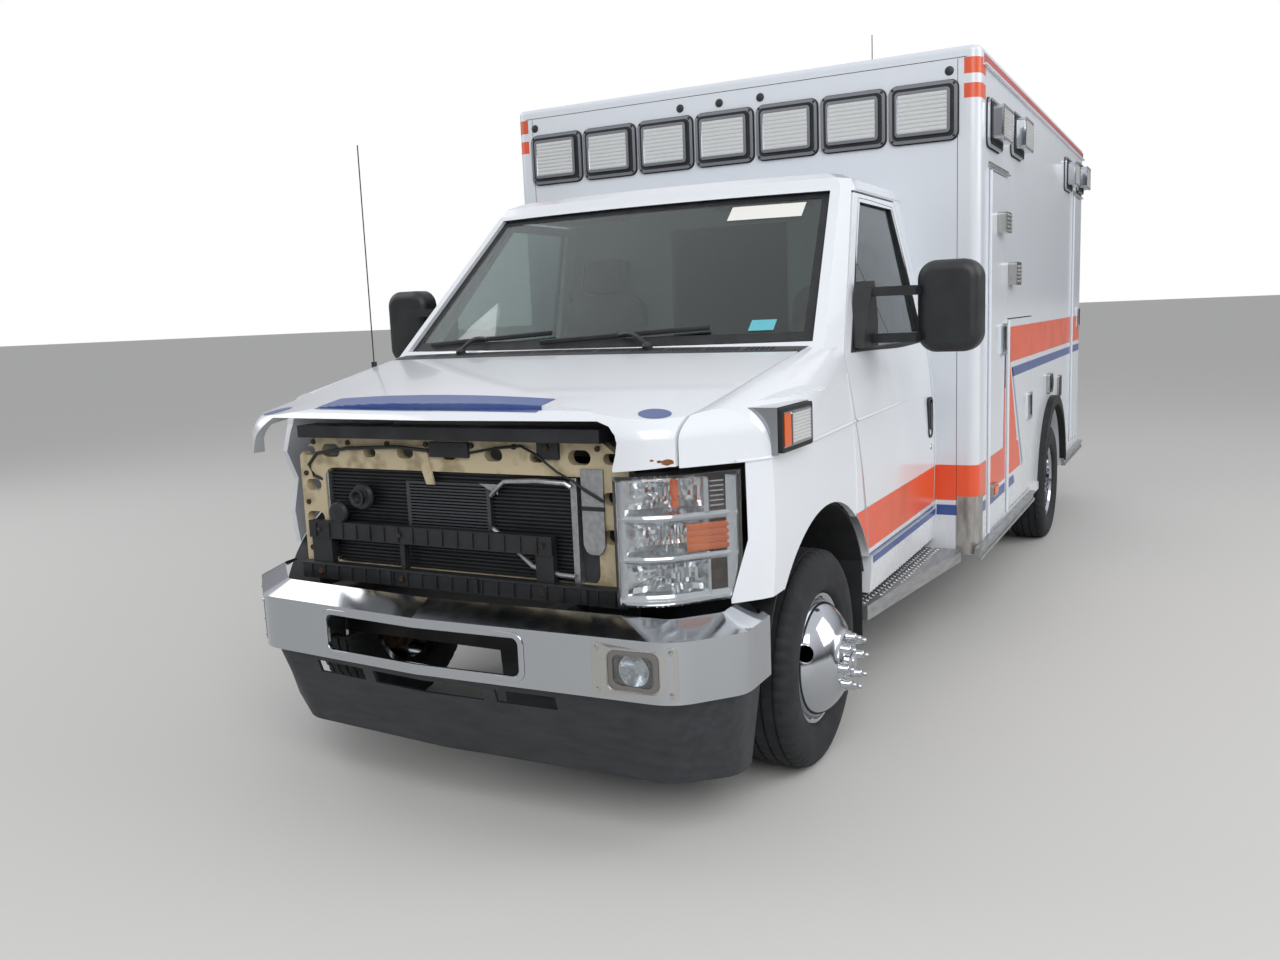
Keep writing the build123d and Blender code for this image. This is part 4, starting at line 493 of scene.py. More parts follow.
    # Laminated float glass, green-grey tint: clear, dark where the cab is dark behind it.
    finish("windshield", "laminated_tinted_glass", "A9BAB6", 0.0, Transmission_Weight=1.0, IOR=1.5)
    finish("glass", "tempered_tinted_glass", "8E9C9C", 0.0, Transmission_Weight=1.0, IOR=1.5)
    # Privacy glass of the body's windows: smoked nearly black.
    finish("smoked", "smoked_tempered_glass", "3B4244", 0.03, Transmission_Weight=0.7, IOR=1.5)
    # Moulded polycarbonate lenses: water clear and faintly hazed, and dyed amber and red.
    finish("lens", "moulded_clear_polycarbonate", "F4F6F7", 0.04, slot="lamp_lens", Transmission_Weight=1.0,
           IOR=1.5)
    # The amber lens has a faint painted glow from its emission, though no lamp lights it
    tree, shader = finish("amber", "moulded_amber_polycarbonate_painted_glow", "E8691C", 0.12, slot="lamp_lens",
                          Transmission_Weight=0.35, IOR=1.5, Emission_Strength=0.06)
    shader.inputs["Emission Color"].default_value = colour("E8691C")
    finish("red_lens", "moulded_red_polycarbonate", "A81F1C", 0.12, slot="lamp_lens", Transmission_Weight=0.35,
           IOR=1.5)
    # The same lens over a bright reflector, seen closed up: pale, ribbed and glossy.
    finish("clear_face", "ribbed_polycarbonate", "E9EBEB", 0.16, slot="lamp_lens", Transmission_Weight=0.35,
           IOR=1.5)
    # Vacuum-metallised reflector: soft mirror behind the lenses.
    finish("reflector", "metallised_reflector", "C7CACD", 0.2, 1.0, "bright_chrome", (9, 1.0), bump=(0.5, 1.2))
    # Printed vinyl labels, left blank: matt, with fine creases.
    for key, tint, hexed in (("paper", "white", "E6E6E1"), ("teal", "teal", "5FB3BE")):
        finish(key, "blank_%s_label" % tint, hexed, 0.5, slot="white_paint", pattern=(12, 3.0), bump=(0.1, 0.1))

    # Embossed PVC seat cloth: warm grey, fine leather grain, shiny where it is sat on.
    tree, shader = finish("vinyl", "embossed_seat_vinyl", "77736C", 0.5, slot="seat_vinyl", pattern=(130, 4.0),
                          tones=("66625C", "86827A", 0.35, 0.7))
    cells = add_node(tree, "ShaderNodeTexVoronoi", [("Vector", add_node(tree, "ShaderNodeTexCoord"), "Object")],
                     {"Scale": 320.0})
    bumped(tree, shader, cells, 0.3, 0.3)
    # Moulded interior plastic and headliner: light warm grey, flat.
    finish("trim", "moulded_interior_plastic", "6D6A66", 0.6, slot="interior_plastic",
           grain=(2.0, 2.0, 0.2, 0.15))


# Which solid is finished in which material
FINISHES = {
    "enamel": ("cab_door_left", "cab_door_right", "cab_frame", "fender_left", "fender_right", "hood"),
    "panel": ("body_roof", "body_wall_front", "body_wall_left", "body_wall_rear", "body_wall_right",
              "locker_door_front", "locker_door_lower", "locker_door_rear", "rear_door_left",
              "rear_door_right", "side_entry_door"),
    "chrome": ("front_bumper", "rim_front_left", "rim_front_right", "rim_rear_left", "rim_rear_right",
               "warning_lamps"),
    "stainless": ("side_fittings", "locker_door_fittings"),
    "aluminium": ("rub_rails", "steps", "lockers", "entry_step_well"),
    "fins": ("radiator_pack",),
    "primer": ("radiator_support",),
    "iron": ("axles", "knuckle_left", "knuckle_right", "engine_block"),
    "chassis": ("chassis_frame", "body_floor"),
    "abs": ("aerials", "cowl_grille", "grille_carrier", "mirror_left", "mirror_right"),
    "dam": ("air_dam",),
    "rubber": ("wheel_housings",),
    "tyre": ("tyre_front_left", "tyre_front_right", "tyre_rear_left", "tyre_rear_right"),
    "windshield": ("windshield",),
    "glass": ("door_glass_left", "door_glass_right"),
    "smoked": ("rear_glass_left", "rear_glass_right", "side_entry_glass"),
    "lens": ("front_lamps",),
    "vinyl": ("cab_seats",),
    "trim": ("cab_floor", "dashboard"),
}


class AmbulanceColours(bpy.types.PropertyGroup):
    paint: StringProperty(name="Cab paint", description="sRGB hex of the cab's white enamel", default="DDE1E7")
    panel: StringProperty(name="Body paint", description="sRGB hex of the body's white enamel",
                          default="D8DDE4")
    orange: StringProperty(name="Wide band", description="sRGB hex of the wide band's film", default="E2562F")
    blue: StringProperty(name="Narrow band", description="sRGB hex of the narrow band's film", default="34508F")
    drip: StringProperty(name="Gutter band", description="sRGB hex of the film under the roof gutter",
                         default="B9463C")


class AmbulanceSizes(bpy.types.PropertyGroup):
    film_lift: FloatProperty(name="Film lift", description="How far film stands off the paint, in millimetres",
                             default=0.7, min=0.2, max=2.0)
    lower_band: FloatProperty(name="Lower band height", default=651.0,
                              description="Bottom edge of the lower wide band in millimetres")
    upper_band: FloatProperty(name="Upper band height", default=1235.0,
                              description="Bottom edge of the upper wide band in millimetres")
    lens_ribs: IntProperty(name="Lens ribs", description="Ribs across each warning lamp's lens", default=9,
                           min=3, max=20)
    tread_blocks: IntProperty(name="Tread blocks", description="Blocks round each tyre in one row", default=54,
                              min=24, max=90)
    light: FloatProperty(name="Light", description="Strength of the studio's even light", default=0.56, min=0.0,
                         max=2.0)


def settings():
    scene = bpy.context.scene
    return scene.ambulance_colours, scene.ambulance_sizes


class AMBULANCE_OT_stage(bpy.types.Operator):
    """Lays the floor, the even light and the camera"""
    bl_idname = "ambulance.stage"
    bl_label = "Stage, light and camera"

    def execute(self, context):
        sizes = settings()[1]
        scene = context.scene
        scene.view_settings.view_transform = "Standard"
        world = bpy.data.worlds.new("even_studio")
        scene.world = world
        world.use_nodes = True
        tree = world.node_tree
        tree.nodes.clear()
        place = add_node(tree, "ShaderNodeTexCoord")
        height = add_node(tree, "ShaderNodeSeparateXYZ", [("Vector", place, "Generated")])
        share = add_node(tree, "ShaderNodeMapRange", [("Value", height, "Z")],
                         {"From Min": -1.0, "From Max": 1.0})
        shade = add_node(tree, "ShaderNodeValToRGB", [("Fac", share, 0)])
        shade.color_ramp.elements[0].position = 0.3
        shade.color_ramp.elements[0].color = (0.25, 0.25, 0.26, 1)
        shade.color_ramp.elements[1].position = 0.9
        shade.color_ramp.elements[1].color = (1.0, 1.0, 1.0, 1)
        middle = shade.color_ramp.elements.new(0.52)
        middle.color = (0.72, 0.74, 0.77, 1)
        lit = add_node(tree, "ShaderNodeBackground", [("Color", shade, 0)], {"Strength": sizes.light})
        seen = add_node(tree, "ShaderNodeBackground", (), {"Color": (1, 1, 1, 1), "Strength": 1.0})
        # Bright metal mirrors a dark band low round the studio, as it mirrors ground and walls outdoors
        hall = add_node(tree, "ShaderNodeValToRGB", [("Fac", height, "Z")])
        hall.color_ramp.elements[0].color = (0.10, 0.10, 0.11, 1)
        hall.color_ramp.elements[1].position = 0.62
        hall.color_ramp.elements[1].color = (0.95, 0.96, 1.0, 1)
        for position, grey in ((0.07, 0.14), (0.16, 0.42), (0.30, 0.66)):
            hall.color_ramp.elements.new(position).color = (grey, grey, grey * 1.05, 1)
        mirrored = add_node(tree, "ShaderNodeBackground", [("Color", hall, 0)], {"Strength": 1.0})
        path = add_node(tree, "ShaderNodeLightPath")
        glossy = add_node(tree, "ShaderNodeMixShader",
                          [(0, path, "Is Glossy Ray"), (1, lit, 0), (2, mirrored, 0)])
        passed = add_node(tree, "ShaderNodeMath",
                          [(0, path, "Is Camera Ray"), (1, path, "Is Transmission Ray")], operation="MAXIMUM")
        both = add_node(tree, "ShaderNodeMixShader", [(0, passed, 0), (1, glossy, 0), (2, seen, 0)])
        add_node(tree, "ShaderNodeOutputWorld", [("Surface", both, 0)])

        floor_finish = new_material("pale_floor_paint", "CBCBC9", 0.7)[0]
        mesh = bpy.data.meshes.new("floor")
        reach = 400  # metres, so that its edge lies at the horizon
        mesh.from_pydata([(-reach, -reach, 0), (reach, -reach, 0), (reach, reach, 0), (-reach, reach, 0)], [],
                         [(0, 1, 2, 3)])
        mesh.materials.append(floor_finish)
        floor = bpy.data.objects.new("floor", mesh)
        scene.collection.objects.link(floor)

        aim = Vector((0, -0.5, 1.2))
        for name, place, power in (("soft_front", (5.0, -9.0, 6.5), 520), ("soft_side", (9.0, 1.0, 5.5), 330),
                                   ("soft_far", (-8.0, -3.0, 6.0), 200)):
            data = bpy.data.lights.new(name, "AREA")
            data.size = 6.0
            data.energy = power
            lamp = bpy.data.objects.new(name, data)
            scene.collection.objects.link(lamp)
            lamp.location = place
            lamp.rotation_euler = (aim - Vector(place)).to_track_quat("-Z", "Y").to_euler()

        camera = bpy.data.cameras.new("photo_view")
        camera.sensor_width = 36.0
        camera.lens = 30.28
        camera.clip_end = 900.0
        eye = bpy.data.objects.new("photo_view", camera)
        scene.collection.objects.link(eye)
        # The camera solved from the photograph: its axes, and where it stood
        right = Vector((0.8831050, 0.4674269, -0.0404692))
        down = Vector((0.0350238, -0.1516931, -0.9878069))
        forward = Vector((-0.4678664, 0.8709198, -0.1503321))
        turn = Matrix((right, -down, -forward)).transposed().to_4x4()
        eye.matrix_world = Matrix.Translation((2.12933, -5.8168, 1.54597)) @ turn
        scene.camera = eye
        return {"FINISHED"}


class AMBULANCE_OT_finishes(bpy.types.Operator):
    """Finishes every solid in the material that the real one is made of"""
    bl_idname = "ambulance.finishes"
    bl_label = "Finishes of the solids"

    def execute(self, context):
        make_materials(settings()[0])
        left = set(NODES)
        for key, names in FINISHES.items():
            for name in names:
                mesh = NODES[name].data
                mesh.materials.clear()
                mesh.materials.append(getattr(MATERIALS, key))
                left.discard(name)
        if left:
            raise RuntimeError("no finish for " + ", ".join(sorted(left)))
        return {"FINISHED"}


def cut_to(polygon, low, high):
    """A convex (u, v) polygon cut to a rectangle."""
    for axis, limit, keep in ((0, low[0], 1), (0, high[0], -1), (1, low[1], 1), (1, high[1], -1)):
        kept = []
        for i, point in enumerate(polygon):
            last = polygon[i - 1]
            inside = (point[axis] - limit) * keep >= 0
            was = (last[axis] - limit) * keep >= 0
            if inside != was:
                share = (limit - last[axis]) / (point[axis] - last[axis])
                kept.append(tuple(last[k] + share * (point[k] - last[k]) for k in (0, 1)))
            if inside:
                kept.append(point)
        polygon = kept
        if len(polygon) < 3:
            return []
    return polygon


def round_corner(side, inner, lift, rear=None):
    """(x, station) points from the front wall round the body's corner, and on to a station on the side wall."""
    radius = CORNER + lift
    path = [(inner, BODY_FRONT - lift)]
    for turn in arc(0, 90, 8):
        path.append((WALL - CORNER + radius * sin(turn), BODY_FRONT + CORNER - radius * cos(turn)))
    if rear:
        path.append((WALL + lift, rear))
    return [(side * x, station) for x, station in path]


def add_wrapped(bm, path, bottom, top):
    """An upright sheet along (x, station) points."""
    count = len(path) - 1
    add_draped(bm, lambda r, c: mm(*path[round(c * count)], bottom + r * (top - bottom)), 1, count)


def film_on(node, side, bottom, top, start, end, lift):
    """Where film lies on a side skin, between two stations that the height may change."""
    def point_at(r, c):
        z = bottom + r * (top - bottom)
        return on_side(node, side, start(z) + c * (end(z) - start(z)), z, lift)

    return point_at


class AMBULANCE_OT_bands(bpy.types.Operator):
    """Lays the coloured film on the body, the doors and the cab"""
    bl_idname = "ambulance.bands"
    bl_label = "Coloured bands"

    def execute(self, context):
        sizes = settings()[1]
        m = MATERIALS
        low, high, lift = sizes.lower_band, sizes.upper_band, sizes.film_lift
        band = 164.0  # height of the lower wide band
        start, end = 1630, BODY_REAR - CORNER
        blue_bottom, blue_top = 581, 629
        # Convex pieces of each band on the side walls, as (station, height)
        shapes = {
            "orange": [
                [(start, low), (2236, low), (2236, low + band), (start, low + band)],
                [(2236, low), (2700, low), (2620, low + band), (2236, low + band)],
                [(2700, low), (2792, low), (2716, low + 140), (2620, low + band)],
                [(2236, low + band), (2660, low + band), (2420, high), (2262, high + 180)],
                [(2262, high + 180), (2290, high), (end, high), (end, high + 180)],
            ],
            "blue": [
                [(start, blue_bottom), (2600, blue_bottom), (2560, blue_top), (start, blue_top)],
                [(2500, 1155), (end, 1155), (end, 1205), (2476, 1205)],
            ],
            "grey_blue": [[(2846, 640), (2872, 660), (2500, 1205), (2474, 1205)]],
        }
        # What is left of each wall round its doors, as (front station, rear station, bottom, top)
        walls = {
            1: ("body_wall_left", [(start, 1800, SKIRT, FILM_TOP), (2262, 2316, SKIRT, FILM_TOP),
                                   (1800, 2262, SKIRT, 452), (2316, 3148, 1460, FILM_TOP),
                                   (3148, 5010, ARCH_TOP, FILM_TOP), (3148, 3430, SKIRT, ARCH_TOP),
                                   (5506, end, SKIRT, FILM_TOP)]),
            -1: ("body_wall_right", [(start, 2330, SKIRT, FILM_TOP), (3110, end, ARCH_TOP, FILM_TOP),
                                     (3110, 3430, SKIRT, ARCH_TOP)]),
        }
        spots = [(side, walls[side][0], "body", span) for side in (1, -1) for span in walls[side][1]]
        for door, (front, rear, bottom, top, side) in DOORS.items():
            spans = [(front + 6, rear - 6, bottom + 6, top - 6)]
            if door == "side_entry_door":
                spans = [(front + 6, 2470, bottom + 6, top - 6), (2970, rear - 6, bottom + 6, top - 6),
                         (2470, 2970, bottom + 6, 1420)]
            spots += [(side, door, door, span) for span in spans]
        sheets = {}
        for tone, polygons in shapes.items():
            for side, panel, body, (s0, s1, z0, z1) in spots:
                for polygon in polygons:
                    cut = cut_to(polygon, (s0, z0), (s1, z1))
                    if cut:
                        if (tone, panel, body) not in sheets:
                            sheets[tone, panel, body] = bmesh.new()
                        bm = sheets[tone, panel, body]
                        bm.faces.new([bm.verts.new(side_wall(side)(u, v, lift)) for u, v in cut])
        for (tone, panel, body), bm in sheets.items():
            make_piece(bm, tone + "_film_" + panel, getattr(m, "film_" + tone), body)

        # Round the front corners and across the front wall, outside the cab
        for tone, name, inner, rear, bottom, top in (
            ("orange", "front_corners", 1012, None, low, low + band),
            ("blue", "front_corners", 1012, None, blue_bottom, blue_top),
            ("orange", "top_0", 1128, 1700, 2424, 2485),
            ("orange", "top_1", 1128, 1700, 2525, 2592),
        ):
            bm = bmesh.new()
            for side in (1, -1):
                add_wrapped(bm, round_corner(side, inner, lift, rear), bottom, top)
            make_piece(bm, tone + "_film_" + name, getattr(m, "film_" + tone))

        # The cab's doors, fenders, pillars and sills
        for side, hand in SIDES:
            door = "cab_door_" + hand
            for tone, node, body, bottom, top, front, rear in (
                ("orange", door, door, low, low + band, lambda z: seam(z) + 11, lambda z: 1525.0),
                ("orange", "cab_frame", "body", low, low + band, lambda z: 1538.0, lambda z: 1582.0),
                ("blue", door, door, 623, 632, lambda z: seam(z) + 11, lambda z: 1525.0),
                ("blue", "cab_frame", "body", 581, 610, arch, lambda z: 1582.0),
            ):
                bm = bmesh.new()
                add_draped(bm, film_on(node, side, bottom, top, front, rear, lift), 8, 40)
                make_piece(bm, tone + "_film_" + node + "_" + hand, getattr(m, "film_" + tone), body)

            film = bmesh.new()
            add_draped(film, lambda r, c: fender_rear(side, hand, low + r * band, c, 1.8), 8, 6)
            make_piece(film, "orange_film_fender_" + hand, m.film_orange)

        # Red film along the gutter
        bm = bmesh.new()
        for side in (1, -1):
            add_prism(bm, side_wall(side), oblong(1640, BODY_REAR - 24, 2571, 2612), 4.0, 4.8)
        make_piece(bm, "red_film_gutter", m.film_red)
        return {"FINISHED"}


def lamp_spots():
    """Wall, middle, width, height and reach of each lamp's housing, and whether its lens is red."""
    for index in range(7):
        yield front_wall, (index - 3) * 318.0, 2380.0, 300.0, 250.0, 30.0, False
    for side in (1, -1):
        for station, z in ((1880, 2336), (2510, 2366), (4640, 2372), (5345, 2410)):
            yield side_wall(side), station, z, 320.0, 210.0, 66.0, False
    for side in (1, -1):
        for x in (1000, 360):
            yield rear_wall, side * x, 2380, 300, 230, 30.0, False
        for z in (980, 1240):
            yield rear_wall, side * 1010, z, 190, 240, 30.0, True


class AMBULANCE_OT_warning_lamps(bpy.types.Operator):
    """Dresses the warning lamps with gaskets, ribbed lenses and corner screws"""
    bl_idname = "ambulance.warning_lamps"
    bl_label = "Warning lamps"

    def execute(self, context):
        m = MATERIALS
        ribs = settings()[1].lens_ribs
        seals, screws, glasses, reds, backs = (bmesh.new() for _ in range(5))
        for place, u, v, width, height, reach, red in lamp_spots():
            # Gaskets and the lens's rim: growth over the housing and corner radius, outside and inside
            for target, outside, outer, inside, inner, low, high in (
                (seals, -30, 22, -62, 15, 17.0, 23.0), (seals, 8, 36, -4, 32, 0.2, 6.0),
                (screws, -58, 17, -78, 10, reach - 4, reach + 3.0),
            ):
                add_ring(target, place, rounded(width + outside, height + outside, outer),
                         rounded(width + inside, height + inside, inner), low, high, (u, v))
            # Ribs run across the lens, each a shallow bow
            half_width, lens_height = (width - 86) / 2, height - 86
            step = lens_height / ribs
            rows = [(v - lens_height / 2 + (rib + share) * step, reach + 0.6 + lift) for rib in range(ribs)
                    for share, lift in ((0.0, 0.0), (0.2, 3.2), (0.5, 4.6), (0.8, 3.2))]
            rows.append((v + lens_height / 2, reach + 0.6))
            last = len(rows) - 1
            add_draped(reds if red else glasses,
                       lambda r, c: place(u + (2 * c - 1) * half_width, *rows[round(r * last)]), last, 3)
            add_prism(backs, place, rounded(width - 88, height - 88, 6), reach + 0.2, reach + 0.4, (u, v))
            for du in (-1, 1):
                for dv in (-1, 1):
                    spot = place(u + du * (width / 2 - 15), v + dv * (height / 2 - 15), 18.0)
                    outward = place(0, 0, 1) - place(0, 0, 0)
                    add_cap(seals, spot, outward, [(0, 6.5), (2.2, 5.6), (3.4, 2.6)], 12)

        # Lamp on the driver's fender: black bezel, amber lens at the front and a ribbed clear one behind it
        def fender_lamp(u, v, depth):
            return mm(1042 + depth, u, v)

        level = 1204
        add_ring(seals, fender_lamp, rounded(264, 130, 10), rounded(236, 106, 6), -11.7, 1.5, (-365, level))
        add_ring(screws, fender_lamp, rounded(170, 100, 8), rounded(158, 88, 5), 0.2, 3.0, (-332, level))
        ambers = bmesh.new()
        add_prism(ambers, fender_lamp, rounded(54, 96, 8), 0.3, 3.5, (-452, level))
        for rib in range(-4, 5):
            rows = [(level + 10 * rib + dv, depth) for dv, depth in ((-5, 0.6), (-2, 3.2), (2, 3.2), (5, 0.6))]
            add_draped(glasses, lambda r, c: fender_lamp(-410 + 156 * c, *rows[round(3 * r)]), 3, 1)
        make_piece(ambers, "fender_lamp_amber", m.amber, bevel=1.0)
        make_piece(seals, "lamp_gaskets_and_screws", m.rubber)
        make_piece(screws, "lamp_lens_rims", m.chrome)
        make_piece(glasses, "lamp_lenses_clear", m.clear_face, smooth=60)
        make_piece(reds, "lamp_lenses_red", m.red_lens, smooth=60)
        make_piece(backs, "lamp_reflectors", m.reflector)

        # Round marker studs between the lamps and the roof
        studs = bmesh.new()
        for x in (-1086, -235, -26, 185, 1065):
            dome = [(0, 0), (0, 20), (5, 18), (8, 10), (9, 0)]
            add_lathe(studs, front_wall(x, 2545, 0.2), -BACK, dome, 20, False)
        make_piece(studs, "roof_marker_studs", m.abs)
        return {"FINISHED"}


class AMBULANCE_OT_body_trim(bpy.types.Operator):
    """Adds the door seals, drip caps, latches, guards, vents and small lamps of the body"""
    bl_idname = "ambulance.body_trim"
    bl_label = "Body trim"

    def execute(self, context):
        m = MATERIALS
        # Drip caps over the tall doors, and seams between the body's panels
        caps = bmesh.new()
        for front, rear, z, side in ((1770, 2300, 2152, 1), (4980, 5536, 2280, 1), (2300, 3140, 2244, -1)):
            place = side_wall(side)
            add_prism(caps, place, oblong(front, rear, z, z + 22), 0.3, 4.0)
            add_prism(caps, place, oblong(front, rear, z, z + 4), 4.0, 17.0)
        add_prism(caps, rear_wall, oblong(-660, 660, 2198, 2202), 0.3, 20.0)
        make_piece(caps, "door_drip_caps", m.stainless, bevel=1.0)
        seams = bmesh.new()
        for side in (1, -1):
            add_box(seams, side * 1101 - 1, side * 1101 + 1, BODY_FRONT - 0.8, BODY_FRONT - 0.1, 410, 2590)
            add_prism(seams, side_wall(side), oblong(1640, 5560, 2592, 2594), 0.1, 4.6)
        add_box(seams, -1140, 1140, BODY_FRONT - 0.8, BODY_FRONT - 0.1, 2594, 2596.5)
        make_piece(seams, "panel_seams", m.rubber)

        # Stone guards on the front corners of the skirts
        guards = bmesh.new()
        for side in (1, -1):
            add_wrapped(guards, round_corner(side, 1104, 1.4, 1700), 402, 670)
        make_piece(guards, "stone_guards", m.guard)

        # Seals round the body doors, in the gap
        for door, (front, rear, bottom, top, side) in DOORS.items():
            seal = bmesh.new()
            middle = ((front + rear) / 2, (bottom + top) / 2)
            add_ring(seal, side_wall(side), rounded(rear - front - 2, top - bottom - 2, 3, 2),
                     rounded(rear - front - 10, top - bottom - 10, 2, 2), -14.0, -8.0, middle)
            make_piece(seal, "seal_" + door, m.rubber)

        # Paddles in the latches, and a lock below each
        for door, station, z in (("locker_door_front", 2170, 1362), ("locker_door_lower", 3056, 954),
                                 ("locker_door_rear", 5412, 1405), ("side_entry_door", 3010, 1200)):
            place = side_wall(DOORS[door][4])
            rim, paddle = bmesh.new(), bmesh.new()
            add_ring(rim, place, rounded(121, 153, 11), rounded(90, 122, 6), 8.0, 15.5, (station, z))
            add_prism(paddle, place, rounded(88, 120, 6), 5.2, 7.0, (station, z))
            add_prism(paddle, place, rounded(72, 52, 10), 7.0, 12.5, (station, z + 22))
            add_cap(paddle, place(station, z - 34, 6.5), place(0, 0, 1) - place(0, 0, 0),
                    [(0, 10), (5, 10), (6, 7)])
            make_piece(rim, "latch_rim_" + door, m.chrome, door, bevel=0.8)
            make_piece(paddle, "latch_paddle_" + door, m.abs, door, bevel=1.2)

        # Louvres of the vents, the filler's cap, the small hatch and the side markers
        dark = bmesh.new()
        left = side_wall(1)
        for station, z, depth, body in ((2092, 1916, 42, "locker_door_front"), (2404, 1682, 42, "body")):
            louvre = bmesh.new()
            for slat in range(5):
                v = z - 36 + slat * 18
                outline = [(0.2, -5), (7, -7), (8, -5), (0.2, 5)]
                add_prism(louvre, lambda u, w, s: left(station + s, v + w, depth + u), outline, -62, 62)
            make_piece(louvre, "vent_louvres_" + body, m.stainless, body, bevel=0.6)
        add_ring(dark, left, rounded(128, 108, 12), rounded(98, 78, 8), 22.2, 25.0, (3860, 1022))
        add_cap(dark, left(3860, 1022, 22.2), (1, 0, 0), [(0, 36), (8, 34), (10, 28)], 28)
        add_prism(dark, left, rounded(100, 128, 10), 14.2, 17.0, (4372, 966))
        make_piece(dark, "filler_cap_and_hatch", m.abs, bevel=0.8)
        for side, depth, body in ((1, 26.2, "locker_door_front"), (-1, 0.3, "body")):
            clear = bmesh.new()
            add_prism(clear, side_wall(side), rounded(96, 40, 12), depth, depth + 4.8, (1900, 655))
            make_piece(clear, "side_marker_lens_" + body, m.amber, body, bevel=2.0)

        # Edge of the arches: a rolled lip over the flare
        lips = bmesh.new()
        for side in (1, -1):
            x, radius = side * (WALL + 36), 508
            rim = [(x, WHEELBASE + radius * cos(turn), HUB + radius * sin(turn)) for turn in arc(8, 172, 40)]
            add_tube(lips, rim, 6.0, 8)
        make_piece(lips, "arch_lips", m.rubber)

        # Window seals of the rear doors and the side entry, and a plate left blank
        for side, hand in SIDES:
            ring = bmesh.new()
            add_ring(ring, rear_wall, rounded(416, 636, 24), rounded(384, 604, 18), 0.4, 5.0,
                     (side * 320, 1690))
            make_piece(ring, "rear_window_seal_" + hand, m.rubber, "rear_door_" + hand)
        ring = bmesh.new()
        add_ring(ring, side_wall(-1), rounded(516, 656, 24), rounded(484, 624, 18), 0.4, 5.0, (2720, 1740))
        make_piece(ring, "entry_window_seal", m.rubber, "side_entry_door")
        plate = bmesh.new()
        add_prism(plate, rear_wall, rounded(300, 150, 12), 190.4, 192.0, (0, 425))
        make_piece(plate, "blank_plate", m.paper)
        return {"FINISHED"}


